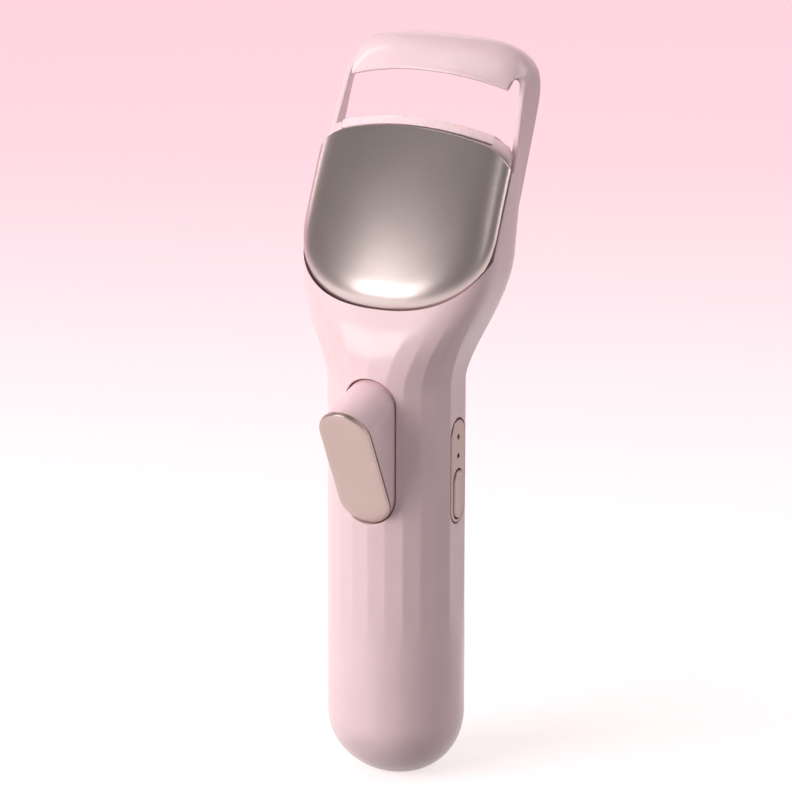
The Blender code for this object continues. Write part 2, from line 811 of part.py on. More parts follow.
def trigger_lever():
    """Wedge with round ends, open at the back, its hub on the trigger pin and its tail to the rod."""
    axis = trigger_axis()
    back_y = TRIGGER_Y - 1.5 * MM
    half = OPENING_HALF - GAP
    foot = OPENING_FOOT + GAP
    swing_r = math.hypot(OPENING_TOP - GAP - TRIGGER_Z, HANDLE_R + TRIGGER_Y)
    back_top = TRIGGER_Z + math.sqrt(swing_r ** 2 - (back_y - TRIGGER_Y) ** 2)
    face_top = FACE_TOP_Z - 0.3 * MM

    def ring(share, inset=0.0):
        top = face_top + (back_top - face_top) * share
        points = []
        for x, z in capsule(half - inset, foot + inset, top - inset):
            y = face_y(min(z, face_top), CAP_THICK + GAP) * (1.0 - share) + back_y * share
            points.append((x, y, z))
        return points

    lever = loft("trigger_lever", [ring(s) for s in (0.0, 0.5, 1.0)], pink(), axis)
    wall = 1.3 * MM
    hollow = [ring(s, wall) for s in (0.0, 1.0)]
    hollow = [[(x, y + wall, z) for x, y, z in line] for line in hollow]
    hollow.append([(x, y + 5.0 * MM, z) for x, y, z in hollow[-1]])
    cut(lever, loft("trigger_hollow", hollow, None))
    hub_half, hub_r = 2.6 * MM, 1.7 * MM
    join(lever, boss("trigger_hub", axis, hub_r, -hub_half, hub_half))
    neck = [(-1.7, 0.0), (1.7, 0.0), (1.7, 4.1), (-0.7, 5.9), (-1.7, 5.9)]
    join(lever, prism(
        "trigger_neck", [(TRIGGER_Y + y * MM, TRIGGER_Z + z * MM) for y, z in neck],
        -hub_half, hub_half, None,
    ))
    tail = lower_pin()
    tail_half = 2.6 * MM
    join(lever, prism("trigger_tail", bar_outline(axis, tail, 1.3 * MM), -tail_half, tail_half, None))
    join(lever, boss("trigger_tail_eye", tail, 1.3 * MM, -tail_half, tail_half))
    fork_half, room = 1.4 * MM, 2.0 * MM
    cut(lever, block(
        "tail_fork", (-fork_half, tail[1] - room, tail[2] - 4 * room),
        (fork_half, tail[1] + 2 * room, tail[2] + 4 * room), None,
    ))
    cross_hole(lever, axis, PIN_R + 0.1 * MM + RUN, "trigger_bore")
    cross_hole(lever, tail, ROD_PIN_R + RUN / 2, "lower_pin_bore")
    pin("trigger_pin", axis, PIN_R + 0.1 * MM, 5.2 * MM, axis)


def spring_place():
    """Y of the spring, and the heights of its seat and of its top under the trigger's tail."""
    y = -1.2 * MM
    slope = math.tan(TRIGGER_SWING / 2.0)
    coil_r = 1.7 * MM
    top = TRIGGER_Z + (y - coil_r - TRIGGER_Y) * slope - 1.3 * MM / math.cos(TRIGGER_SWING / 2.0)
    return y, seat_top() + GAP, top - GAP - 0.3 * MM


def return_spring():
    y, low, high = spring_place()
    coil_r, wire_r, turns = 1.7 * MM, 0.28 * MM, 5
    low, high = low + wire_r, high - wire_r
    steps, sides = 13 * turns, 6
    rings = []
    for i in range(steps + 1):
        share = i / steps
        # The first and the last turn lie flat, as ground coil ends do.
        rise = eased((share - 0.1) / 0.8)
        angle = 2.0 * math.pi * turns * share
        centre = np.array((coil_r * math.cos(angle), y + coil_r * math.sin(angle), 0.0))
        centre[2] = low + (high - low) * rise + (share - 0.5) * 0.4 * MM
        outward = np.array((math.cos(angle), math.sin(angle), 0.0))
        rings.append([
            tuple(centre + wire_r * (
                outward * math.cos(2 * math.pi * k / sides)
                + np.array((0.0, 0.0, math.sin(2 * math.pi * k / sides)))
            ))
            for k in range(sides)
        ])
    loft("return_spring", rings, steel(), (0.0, y, low))


def seat_top():
    return CELL_TOP + GAP + 2.2 * MM


def spring_seat():
    y, low, _ = spring_place()
    radius = HANDLE_R - WALL - 0.7 * MM
    bottom = CELL_TOP + GAP
    seat = rod("spring_seat", (0, 0, bottom), (0, 0, seat_top()), radius, nylon(), 32)
    join(seat, rod("spring_post", (0, y, bottom + GAP), (0, y, low + 2.0 * MM), 1.0 * MM, None, 12))
    notch_x, notch_y = LEAD_X - 0.85 * MM, 3.2 * MM
    cut(seat, block(
        "lead_notch", (notch_x, -notch_y, bottom - MM), (2 * notch_x, notch_y, seat_top() + MM), None,
    ))


# ---------------------------------------------------------------- control panel

def panel_slab(name, half, foot, top, x_low, x_high, finish, origin=(0.0, 0.0, 0.0)):
    return prism(name, capsule(half, foot, top), x_low, x_high, finish, origin)


def window_heights():
    top = PANEL_TOP - 3.1 * MM
    return (top - 3.4 * MM, top)


def control_panel():
    back = PANEL_FACE - PANEL_THICK
    panel = panel_slab(
        "control_panel", PANEL_HALF, PANEL_FOOT, PANEL_TOP, back, PANEL_FACE, champagne()
    )
    play = 0.25 * MM
    cut(panel, panel_slab(
        "button_hole", BUTTON_HALF + play, BUTTON_FOOT - play, BUTTON_TOP + play,
        back - MM, PANEL_FACE + MM, None,
    ))
    for number, z in enumerate(window_heights()):
        cut(panel, rod(
            f"window_{number}", (back - MM, 0, z), (PANEL_FACE + MM, 0, z), WINDOW_R, None, 12
        ))


def power_button():
    flange_top = PANEL_FACE - PANEL_THICK - GAP
    flange_low = flange_top - 0.65 * MM
    wider = 0.55 * MM
    origin = (flange_low, 0.0, 0.5 * (BUTTON_FOOT + BUTTON_TOP))
    button = panel_slab(
        "power_button", BUTTON_HALF, BUTTON_FOOT, BUTTON_TOP, flange_low, PANEL_FACE + 0.2 * MM,
        champagne(), origin,
    )
    join(button, panel_slab(
        "button_flange", BUTTON_HALF + wider, BUTTON_FOOT - wider, BUTTON_TOP + wider,
        flange_low, flange_top, None,
    ))
    return flange_low


def electronics():
    button_z = 0.5 * (BUTTON_FOOT + BUTTON_TOP)
    flange_low = PANEL_FACE - PANEL_THICK - GAP - 0.65 * MM
    board_low, board_high = BOARD_LOW_X, BOARD_LOW_X + BOARD_THICK
    board = block(
        "main_board", (board_low, -BOARD_HALF, BOARD_FOOT), (board_high, BOARD_HALF, BOARD_TOP),
        board_green(),
    )
    switch_low = board_high + GAP
    switch_top = flange_low - BUTTON_TRAVEL - 0.1 * MM
    switch = block(
        "tact_switch", (switch_low, -1.8 * MM, button_z - 1.8 * MM),
        (switch_top - 0.4 * MM, 1.8 * MM, button_z + 1.8 * MM), black_plastic(),
    )
    join(switch, rod(
        "switch_plunger", (switch_low + 0.2 * MM, 0, button_z), (switch_top, 0, button_z),
        0.9 * MM, None, 16,
    ))
    heights = window_heights()
    guide_high = PANEL_FACE - PANEL_THICK - GAP
    guide_low = guide_high - 1.2 * MM
    clear = material("light_guide", (0.9, 0.9, 0.88), 0.15)
    block(
        "light_guide", (guide_low, -1.1 * MM, heights[0] - 1.1 * MM),
        (guide_high, 1.1 * MM, heights[1] + 1.1 * MM), clear,
    )
    names = ("lower_indicator_light", "upper_indicator_light")
    for name, z in zip(names, heights):
        block(
            name, (switch_low, -0.5 * MM, z - 0.8 * MM), (guide_low - GAP, 0.5 * MM, z + 0.8 * MM),
            material("indicator_light", (0.95, 0.93, 0.8), 0.3),
        )
    for name, z in zip(("lower_board_screw", "upper_board_screw"), board_screw_heights()):
        cut(board, rod(name + "_hole", (0, 0, z), (HANDLE_R, 0, z), 1.0 * MM, None, 16))
        screw(name, (board_low - GAP, 0, z), (1.0, 0.0, 0.0), 1.6 * MM, 0.7 * MM, 3.8 * MM)


def screw(name, under_head, direction, head_r, shank_r, length):
    """Pan-head screw with a hexagonal socket; under_head is where the head meets the piece."""
    direction = np.array(direction)
    head_height = 1.0 * MM
    top = np.subtract(under_head, direction * head_height)
    tip = np.add(under_head, direction * length)
    total = head_height + length
    radii = (
        (0.0, head_r * 0.8), (0.3 * head_height / total, head_r), (head_height / total, head_r),
        (head_height / total + 1e-4, shank_r), (1.0 - 0.5 * MM / total, shank_r), (1.0, shank_r * 0.6),
    )
    made = rod(name, top, tip, head_r, steel(), 16, tuple(top), radii)
    socket_end = np.add(top, direction * 0.6 * MM)
    cut(made, rod(name + "_socket", top - direction * MM, socket_end, 0.75 * MM, None, 6))


def board_screw_heights():
    return (BOARD_FOOT + BOARD_SCREW_IN, BOARD_TOP - BOARD_SCREW_IN)


def cable(name, points, radius, finish):
    """A lead held inside the casing, along a smooth line through its points."""
    curve = bpy.data.curves.new(name, "CURVE")
    curve.dimensions = "3D"
    curve.bevel_depth = radius
    curve.bevel_resolution = 2
    curve.use_fill_caps = True
    smooth = smooth_line(points, 4)
    spline = curve.splines.new("POLY")
    spline.points.add(len(smooth) - 1)
    for place, point in zip(spline.points, smooth):
        place.co = (*point, 1.0)
    obj = bpy.data.objects.new(name, curve)
    bpy.context.scene.collection.objects.link(obj)
    curve.materials.append(finish)


def smooth_line(points, steps):
    """A Catmull-Rom line through the points."""
    points = [np.array(p, float) for p in points]
    padded = [2 * points[0] - points[1]] + points + [2 * points[-1] - points[-2]]
    line = []
    for a, b, c, d in zip(padded, padded[1:], padded[2:], padded[3:]):
        for i in range(steps):
            t = i / steps
            line.append(0.5 * (
                2 * b + (c - a) * t + (2 * a - 5 * b + 4 * c - d) * t ** 2
                + (3 * b - a - 3 * c + d) * t ** 3
            ))
    return line + [points[-1]]


def power_supply():
    copper = material("cell_wrap", (0.12, 0.3, 0.5), 0.4)
    rod("battery_cell", (0, 0, CELL_FOOT), (0, 0, CELL_TOP), CELL_R, copper, 32)
    foam = material("foam", (0.1, 0.1, 0.1), 0.9)
    cushion_top = CELL_FOOT - GAP
    rod("battery_cushion", (0, 0, cushion_top - 1.2 * MM), (0, 0, cushion_top), 5.5 * MM, foam, 24)
    mouth = USB_MOUTH
    depth = 7.0 * MM
    socket = slot_prism("usb_socket", 0.0, mouth - depth, mouth, steel())
    cut(socket, slot_prism("usb_cavity", -0.35 * MM, mouth - depth + MM, mouth + MM, None))
    join(socket, block(
        "usb_tongue", (-3.3 * MM, mouth - depth + 0.3 * MM, USB_Z - 0.35 * MM),
        (3.3 * MM, mouth - 1.5 * MM, USB_Z + 0.35 * MM), None,
    ))
    low = USB_Z - USB_HALF_HEIGHT - 1.5 * MM
    block(
        "charging_board", (-5.0 * MM, -4.0 * MM, low),
        (5.0 * MM, mouth - 4.4 * MM, USB_Z - USB_HALF_HEIGHT - GAP), board_green(),
    )


def slot_prism(name, grow, y_low, y_high, finish):
    """An oblong across the body, the outline of the charging socket, drawn out along Y."""
    half, flat = USB_HALF_HEIGHT + grow, USB_HALF_WIDTH - USB_HALF_HEIGHT
    outline = [(z, x) for x, z in capsule(half, -flat - half, flat + half, 6)]
    rings = [[(x, y, USB_Z + z) for x, z in outline] for y in (y_low, y_high)]
    return loft(name, rings, finish)


def leads():
    red = material("red_lead", (0.6, 0.05, 0.04), 0.5)
    black = black_plastic()
    white = material("white_lead", (0.85, 0.84, 0.82), 0.5)
    board_x = BOARD_LOW_X + BOARD_THICK / 2
    end = BOARD_FOOT - 0.6 * MM
    for name, y, finish in (("battery_lead_red", 2.3 * MM, red), ("battery_lead_black", -2.3 * MM, black)):
        cable(name, (
            (LEAD_X, y, CELL_TOP - 3 * MM), (LEAD_X, y, CELL_TOP), (LEAD_X, y, seat_top() + MM),
            (board_x, y, end),
        ), 0.45 * MM, finish)
    cable("charging_lead", (
        (3.9 * MM, 0, USB_Z - 0.8 * MM), (7.0 * MM, 0, USB_Z + 1.0 * MM),
        (CHARGE_LEAD_X, 0, CELL_FOOT), (CHARGE_LEAD_X, 0, 0.5 * (CELL_FOOT + CELL_TOP)),
        (CHARGE_LEAD_X, 0, seat_top() + MM), (board_x, 0, end),
    ), 0.5 * MM, white)
    tongue = head(5.5 * MM, TONGUE_FOOT_V - 0.7 * MM, JAW_FRONT_W - JAW_THICK / 2 - 0.4 * MM)
    cable("heater_lead", (
        (board_x, 1.5 * MM, BOARD_TOP + 0.6 * MM), (board_x, 1.5 * MM, BOARD_TOP + 5.0 * MM),
        (6.3 * MM, -0.5 * MM, BOARD_TOP + 12.0 * MM), tongue,
    ), 0.5 * MM, white)


# ---------------------------------------------------------------- chassis and casing

def head_chassis():
    half, foot, top = CHASSIS_SCREW_X + 2.6 * MM, 9.0 * MM, 24.4 * MM
    back = CHASSIS_FRONT_W - CHASSIS_THICK
    plate = block(
        "head_chassis", (-half, foot, back), (half, top, CHASSIS_FRONT_W), nylon(), place=head
    )
    slot = 4.2 * MM
    cut(plate, block(
        "chassis_slot", (-slot, foot - MM, back - MM),
        (slot, CRANK_V + CRANK_R - 0.4 * MM, CHASSIS_FRONT_W + MM), None, place=head,
    ))
    lug_in, lug_out, reach = 4.3 * MM, 6.0 * MM, 2.3 * MM
    for side in (-1.0, 1.0):
        low, high = sorted((side * lug_in, side * lug_out))
        join(plate, block(
            f"lug_{side:+.0f}", (low, CRANK_V - reach, CRANK_W - reach),
            (high, CRANK_V + reach, CHASSIS_FRONT_W - 0.3 * MM), None, place=head,
        ))
        hole = (side * CHASSIS_SCREW_X, CHASSIS_SCREW_V)
        cut(plate, rod(
            f"chassis_hole_{side:+.0f}", head(*hole, back - MM), head(*hole, CHASSIS_FRONT_W + MM),
            1.0 * MM, None, 16,
        ))
        name = "left_chassis_screw" if side < 0 else "right_chassis_screw"
        forward = np.subtract(head(0, 0, 1.0), head(0, 0, 0))
        screw(name, head(*hole, back - GAP), forward, 1.6 * MM, 0.7 * MM, 3.9 * MM)
    cross_hole(plate, crank_axis(), PIN_R + RUN / 2, "chassis_bore")


def jaw_slot():
    """Room for the jaw through the deck of the head."""
    half = HEAD_HALF - WALL - 0.1 * MM
    xs = np.linspace(-half, half, 13)
    back = [(x, JAW_FRONT_W + jaw_plan(x) - JAW_THICK - 0.5 * MM) for x in xs]
    outline = back + [(half, 10 * MM), (-half, 10 * MM)]
    rings = [[head(x, v, w) for x, w in outline] for v in (DECK_V - 6 * MM, DECK_V + 4 * MM)]
    return loft("jaw_slot", rings, None)


def front_housing():
    shell = casing_shell("front_housing", pink())
    parting = [(y - GAP / 2, z) for y, z in parting_outline()]
    cut(shell, prism("rear_room", parting, -60 * MM, 60 * MM, None))
    cut(shell, shield_pocket())
    join(shell, hoop_solid())
    cut(shell, jaw_slot())
    opening = capsule(OPENING_HALF, OPENING_FOOT, OPENING_TOP, 12)
    rings = [[(x, y, z) for x, z in outline] for y, outline in ((-30 * MM, opening), (-6 * MM, opening))]
    cut(shell, loft("trigger_opening", rings, None))
    cut(shell, panel_slab(
        "panel_opening", PANEL_HALF + GAP, PANEL_FOOT - GAP, PANEL_TOP + GAP,
        HANDLE_R - 4 * MM, HANDLE_R + 2 * MM, None,
    ))
    axis = trigger_axis()
    for side in (-1.0, 1.0):
        low, high = sorted((side * 2.9 * MM, side * 6.0 * MM))
        join(shell, boss(f"trigger_boss_{side:+.0f}", axis, 2.0 * MM, low, high))
        inner, outer = sorted((side * (CHASSIS_SCREW_X + 1.3 * MM), side * (HEAD_HALF - 0.9 * MM)))
        rib = 2.0 * MM
        join(shell, block(
            f"chassis_rib_{side:+.0f}", (inner, CHASSIS_SCREW_V - rib, CHASSIS_FRONT_W + GAP),
            (outer, CHASSIS_SCREW_V + rib, -5.3 * MM), None, place=head,
        ))
        inner, outer = sorted((side * (CHASSIS_SCREW_X - 1.8 * MM), side * (CHASSIS_SCREW_X + 1.8 * MM)))
        join(shell, block(
            f"chassis_boss_{side:+.0f}", (inner, CHASSIS_SCREW_V - rib, CHASSIS_FRONT_W + GAP),
            (outer, CHASSIS_SCREW_V + rib, -3.7 * MM), None, place=head,
        ))
        hole = (side * CHASSIS_SCREW_X, CHASSIS_SCREW_V)
        cut(shell, rod(
            f"chassis_thread_{side:+.0f}", head(*hole, -9 * MM), head(*hole, -4.3 * MM),
            0.9 * MM, None, 16,
        ))
    boss_low = BOARD_LOW_X + BOARD_THICK + GAP
    for number, z in enumerate(board_screw_heights()):
        boss_high = HANDLE_R - 1.1 * MM
        thread_high = boss_high - 0.6 * MM
        join(shell, rod(
            f"board_boss_{number}", (boss_low, 0, z), (boss_high, 0, z), 1.8 * MM, None, 16
        ))
        cut(shell, rod(
            f"board_thread_{number}", (boss_low - MM, 0, z), (thread_high, 0, z), 0.9 * MM, None, 16
        ))
    cross_hole(shell, axis, PIN_R + 0.1 * MM + RUN / 2, "trigger_pin_bore", 5.5 * MM)


def rear_cover():
    shell = casing_shell("rear_cover", pink())
    parting = [(y + GAP / 2, z) for y, z in parting_outline()]
    room = prism("cover_room", parting, -60 * MM, 60 * MM, None)
    combine(shell, room, "INTERSECT")
    cut(shell, slot_prism("usb_mouth", GAP, 0.0, HANDLE_R + 8 * MM, None))


def main():
    clear_scene()
    front_housing()
    rear_cover()
    face_shield()
    head_chassis()
    jaw_carriage()
    heating_plate()
    jaw_pad()
    bell_crank()
    pull_rod()
    trigger_lever()
    trigger_cap()
    return_spring()
    spring_seat()
    control_panel()
    power_button()
    electronics()
    power_supply()
    leads()


main()
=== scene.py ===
import math

import bmesh
import bpy
import numpy as np
from mathutils import Matrix, Vector


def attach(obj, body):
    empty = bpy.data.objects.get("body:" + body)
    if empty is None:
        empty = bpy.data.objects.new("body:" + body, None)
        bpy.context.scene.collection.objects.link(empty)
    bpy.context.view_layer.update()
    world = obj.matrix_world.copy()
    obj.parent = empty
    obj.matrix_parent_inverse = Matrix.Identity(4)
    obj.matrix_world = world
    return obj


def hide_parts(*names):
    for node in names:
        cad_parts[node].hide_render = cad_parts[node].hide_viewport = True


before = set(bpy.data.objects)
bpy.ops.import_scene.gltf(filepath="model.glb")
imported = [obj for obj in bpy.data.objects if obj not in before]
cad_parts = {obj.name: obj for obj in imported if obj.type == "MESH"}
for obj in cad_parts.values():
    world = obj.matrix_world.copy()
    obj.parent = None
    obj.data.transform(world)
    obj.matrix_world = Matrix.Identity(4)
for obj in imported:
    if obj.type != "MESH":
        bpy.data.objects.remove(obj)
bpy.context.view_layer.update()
mm = 0.001  # lengths below are in millimetres, and meshes are in metres


# the pink casing: a faceted handle that widens into a leaning head
casing = {
    "radius": 12.0, "wall": 1.6, "gap": 0.3, "baseRadius": 5.5, "baseShift": 1.4,
    "facets": 24, "facetStart": 23.0, "facetFull": 34.0, "facetFade": 76.0, "facetEnd": 87.0,
    "neckStart": 71.0, "neckEnd": 93.0, "rearSlope": 0.12, "rearStart": 73.0, "top": 116.0,
    "ringPoints": 384, "innerPoints": 144, "edgeRound": 1,
}
head = {"half": 18.0, "footY": -10.0, "footZ": 86.5, "lean": math.radians(27.0), "deck": 27.0}
leanSin, leanCos = math.sin(head["lean"]), math.cos(head["lean"])


def headPlace(x, v, w):
    # x across, v up along the lean and w forward out of the shield, turned into the frame's axes
    x, v, w = np.broadcast_arrays(x, v, w)
    y = head["footY"] + v * leanSin - w * leanCos
    z = head["footZ"] + v * leanCos + w * leanSin
    return np.stack([x, y, z], axis=-1)


def eased(share):
    # 0 to 1 with a level start and end: three squares less two cubes
    share = np.clip(share, 0.0, 1.0)
    return share * share * (3.0 - 2.0 * share)


def signedPower(value, power):
    # the size of a value raised to a power, with the value's own sign
    return np.sign(value) * np.abs(value) ** power


def meshPiece(name, points, faces):
    # a mesh from points in millimetres, doubles merged and faces turned outwards
    mesh = bpy.data.meshes.new(name)
    mesh.from_pydata((np.asarray(points) * mm).tolist(), [], faces)
    shape = bmesh.new()
    shape.from_mesh(mesh)
    bmesh.ops.remove_doubles(shape, verts=shape.verts, dist=1e-6)
    bmesh.ops.dissolve_degenerate(shape, edges=shape.edges, dist=1e-7)
    bmesh.ops.recalc_face_normals(shape, faces=shape.faces)
    shape.to_mesh(mesh)
    shape.free()
    piece = bpy.data.objects.new(name, mesh)
    bpy.context.scene.collection.objects.link(piece)
    return piece


def gridFaces(rows, columns, wrap=False, first=0):
    # the quads between neighbouring rows of a grid of points
    row, column = np.meshgrid(np.arange(rows - 1), np.arange(columns - (not wrap)), indexing="ij")
    row, column = row.ravel(), column.ravel()
    following = (column + 1) % columns
    quads = np.stack([
        row * columns + column, row * columns + following,
        (row + 1) * columns + following, (row + 1) * columns + column,
    ], axis=1)
    return (quads + first).tolist()


def tubePiece(name, rings):
    # closed rings of equal length joined in order, with a flat face on both ends
    rings = np.asarray(rings, float)
    levels, count = rings.shape[:2]
    faces = gridFaces(levels, count, wrap=True)
    faces.append(list(range(count - 1, -1, -1)))
    faces.append(list(range((levels - 1) * count, levels * count)))
    return meshPiece(name, rings.reshape(-1, 3), faces)


def platePiece(name, front, back, sewn=False):
    # a front and a back grid of points, joined along all four edges. A sewn plate's first row
    # runs out and back along one line, so it needs no wall there
    front, back = np.asarray(front, float), np.asarray(back, float)
    rows, columns = front.shape[:2]
    size = rows * columns
    faces = gridFaces(rows, columns) + [q[::-1] for q in gridFaces(rows, columns, first=size)]
    rim = list(range(columns)) + [r * columns + columns - 1 for r in range(1, rows)]
    rim += [(rows - 1) * columns + c for c in range(columns - 2, -1, -1)]
    rim += [r * columns for r in range(rows - 2, -1, -1)]
    if sewn:
        rim = rim[columns - 1:]
    faces += [[a, b, size + b, size + a] for a, b in zip(rim, rim[1:])]
    return meshPiece(name, np.concatenate([front.reshape(-1, 3), back.reshape(-1, 3)]), faces)


def slabPiece(name, outline, axis, low, high):
    # an outline of (a, b) points drawn out along x, y or z from low to high
    outline = np.asarray(outline, float)
    rings = [np.insert(outline, axis, level, axis=1) for level in (low, high)]
    return tubePiece(name, rings)


def headBlock(name, low, high):
    # a box between two corners given in the head's own axes
    corners = [(low[0], low[1]), (high[0], low[1]), (high[0], high[1]), (low[0], high[1])]
    rings = [[headPlace(x, v, w) for x, v in corners] for w in (low[2], high[2])]
    return tubePiece(name, rings)


def rodPiece(name, start, end, radii, sides=48):
    # rings of the given (share of length, radius) about the line from start to end
    start, end = np.asarray(start, float), np.asarray(end, float)
    along = end - start
    length = np.linalg.norm(along)
    along = along / length
    side = np.cross(along, (1.0, 0.0, 0.0) if abs(along[0]) < 0.8 else (0.0, 1.0, 0.0))
    side = side / np.linalg.norm(side)
    across = np.cross(along, side)
    turn = np.linspace(0, 2 * math.pi, sides, endpoint=False)[:, None]
    circle = np.cos(turn) * side + np.sin(turn) * across
    return tubePiece(name, [start + along * length * share + circle * r for share, r in radii])


def capsuleLine(half, foot, top, steps=24):
    # an upright slot with round ends: two half circles of radius half, as (across, z)
    turn = np.linspace(0, math.pi, steps + 1)
    upper = np.stack([half * np.cos(turn), top - half + half * np.sin(turn)], axis=1)
    lower = np.stack([-half * np.cos(turn), foot + half - half * np.sin(turn)], axis=1)
    return np.concatenate([upper, lower])


def joinShapes(target, steps):
    # runs the cuts, unions and intersections in order, then removes the helpers
    for operation, tool in steps:
        step = target.modifiers.new(operation, "BOOLEAN")
        step.operation = operation
        step.object = tool
        step.solver = "MANIFOLD"
        tool.hide_render = True
    bpy.context.view_layer.update()
    graph = bpy.context.evaluated_depsgraph_get()
    made = bpy.data.meshes.new_from_object(target.evaluated_get(graph))
    target.modifiers.clear()
    target.data = made
    for _, tool in steps:
        bpy.data.objects.remove(tool)
    return target


def finishPiece(piece, material, body, nodes=(), bevel=0.0, segments=2, sharp=32.0):
    # gives a piece its material, smooth faces, softened edges and its place in the motion
    piece.data.materials.clear()
    piece.data.materials.append(material)
    if bevel:
        edge = piece.modifiers.new("softEdges", "BEVEL")
        edge.width = bevel * mm
        edge.segments = segments
        edge.limit_method = "ANGLE"
        edge.angle_limit = math.radians(sharp)
        edge.use_clamp_overlap = True
        edge.harden_normals = False
    piece.data.shade_smooth()
    piece.data.set_sharp_from_angle(angle=math.radians(sharp + 8.0))
    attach(piece, body)
    if nodes:
        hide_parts(*nodes)
    return piece


def newMaterial(name, colour, roughness, metallic=0.0, **sockets):
    made = bpy.data.materials.new(name)
    made.use_nodes = True
    shader = made.node_tree.nodes["Principled BSDF"]
    shader.inputs["Base Color"].default_value = (*colour, 1.0)
    shader.inputs["Roughness"].default_value = roughness
    shader.inputs["Metallic"].default_value = metallic
    for socket, value in sockets.items():
        shader.inputs[socket.replace("_", " ")].default_value = value
    made.diffuse_color = (*colour, 1.0)
    return made, made.node_tree, shader


def place(tree, stretch=(1, 1, 1), turn=(0, 0, 0)):
    # object coordinates, turned and scaled
    coordinate = tree.nodes.new("ShaderNodeTexCoord")
    mapping = tree.nodes.new("ShaderNodeMapping")
    mapping.inputs["Scale"].default_value = stretch
    mapping.inputs["Rotation"].default_value = turn
    tree.links.new(coordinate.outputs["Object"], mapping.inputs["Vector"])
    return mapping.outputs["Vector"]


def noise(tree, scale, detail=3.0, rough=0.55, **where):
    made = tree.nodes.new("ShaderNodeTexNoise")
    made.inputs["Scale"].default_value = scale
    made.inputs["Detail"].default_value = detail
    made.inputs["Roughness"].default_value = rough
    tree.links.new(place(tree, **where), made.inputs["Vector"])
    return made.outputs["Fac"]


def cells(tree, scale, feature="F1", **where):
    made = tree.nodes.new("ShaderNodeTexVoronoi")
    made.feature = feature
    made.inputs["Scale"].default_value = scale
    tree.links.new(place(tree, **where), made.inputs["Vector"])
    return made.outputs["Distance"]


def wave(tree, scale, direction, distortion=0.0):
    made = tree.nodes.new("ShaderNodeTexWave")
    made.wave_type = "BANDS"
    made.bands_direction = direction
    made.inputs["Scale"].default_value = scale
    made.inputs["Distortion"].default_value = distortion
    tree.links.new(place(tree), made.inputs["Vector"])
    return made.outputs["Fac"]


def tint(tree, shader, factor, stops):
    # the base colour runs through these (place, colour) stops
    ramp = tree.nodes.new("ShaderNodeValToRGB")
    while len(ramp.color_ramp.elements) < len(stops):
        ramp.color_ramp.elements.new(0.5)
    for element, (position, colour) in zip(ramp.color_ramp.elements, stops):
        element.position = position
        element.color = (*colour, 1.0)
    tree.links.new(factor, ramp.inputs["Fac"])
    tree.links.new(ramp.outputs["Color"], shader.inputs["Base Color"])


def ranged(tree, factor, low, high, socket):
    span = tree.nodes.new("ShaderNodeMapRange")
    span.inputs["From Min"].default_value = 0.3
    span.inputs["From Max"].default_value = 0.7
    span.inputs["To Min"].default_value = low
    span.inputs["To Max"].default_value = high
    tree.links.new(factor, span.inputs["Value"])
    tree.links.new(span.outputs["Result"], socket)


def relief(tree, shader, heights, edge=0.0):
    # bumps on top of each other, each (height, strength, distance in mm), over rounded edges
    normal = None
    if edge:
        corner = tree.nodes.new("ShaderNodeBevel")
        corner.samples = 6
        corner.inputs["Radius"].default_value = edge * mm
        normal = corner.outputs["Normal"]
    for height, strength, distance in heights:
        bump = tree.nodes.new("ShaderNodeBump")
        bump.inputs["Strength"].default_value = strength
        bump.inputs["Distance"].default_value = distance * mm
        tree.links.new(height, bump.inputs["Height"])
        if normal is not None:
            tree.links.new(normal, bump.inputs["Normal"])
        normal = bump.outputs["Normal"]
    tree.links.new(normal, shader.inputs["Normal"])


def scaled(colour, factor):
    return tuple(min(1.0, c * factor) for c in colour)


# panel is the champagne metal made darker, painted shade for the side panel and its button, which face away from the
# key light
finish = {
    "pink": (0.87, 0.64, 0.67), "champagne": (0.53, 0.42, 0.385), "panel": (0.38, 0.285, 0.265),
    "shield": (0.62, 0.535, 0.515), "steel": (0.60, 0.60, 0.61),
    "silicone": (0.90, 0.68, 0.71), "nylon": (0.70, 0.69, 0.66), "board": (0.012, 0.10, 0.045),
}


def pinkShell():
    # satin moulded plastic: a fine spark-eroded grain under a thin gloss, slightly cloudy
    colour = finish["pink"]
    made, tree, shader = newMaterial(
        "pinkShell", colour, 0.34, Coat_Weight=0.35, Coat_Roughness=0.12,
        Subsurface_Weight=0.05, Subsurface_Scale=0.0004,
    )
    shader.inputs["Subsurface Radius"].default_value = (1.0, 0.45, 0.4)
    cloud = noise(tree, 90.0, 4.0)
    tint(tree, shader, cloud, [(0.3, scaled(colour, 0.965)), (0.7, scaled(colour, 1.02))])
    ranged(tree, noise(tree, 420.0, 3.0), 0.30, 0.38, shader.inputs["Roughness"])
    grain = noise(tree, 5200.0, 2.0)
    relief(tree, shader, [(cloud, 0.05, 0.05), (grain, 0.10, 0.012)], edge=0.16)
    return made


def champagneMetal(name, colour, roughness, edge=0.1):
    # rose champagne plate: bead-blasted, so the grain has no direction, under a thin lacquer
    made, tree, shader = newMaterial(name, colour, roughness, 1.0, Coat_Weight=0.18, Coat_Roughness=0.22)
    blast = noise(tree, 4200.0, 3.0)
    cloud = noise(tree, 110.0, 3.0)
    tint(tree, shader, cloud, [(0.3, scaled(colour, 0.97)), (0.7, scaled(colour, 1.03))])
    ranged(tree, blast, roughness - 0.02, roughness + 0.03, shader.inputs["Roughness"])
    relief(tree, shader, [(cloud, 0.02, 0.04), (blast, 0.01, 0.003)], edge)
    return made


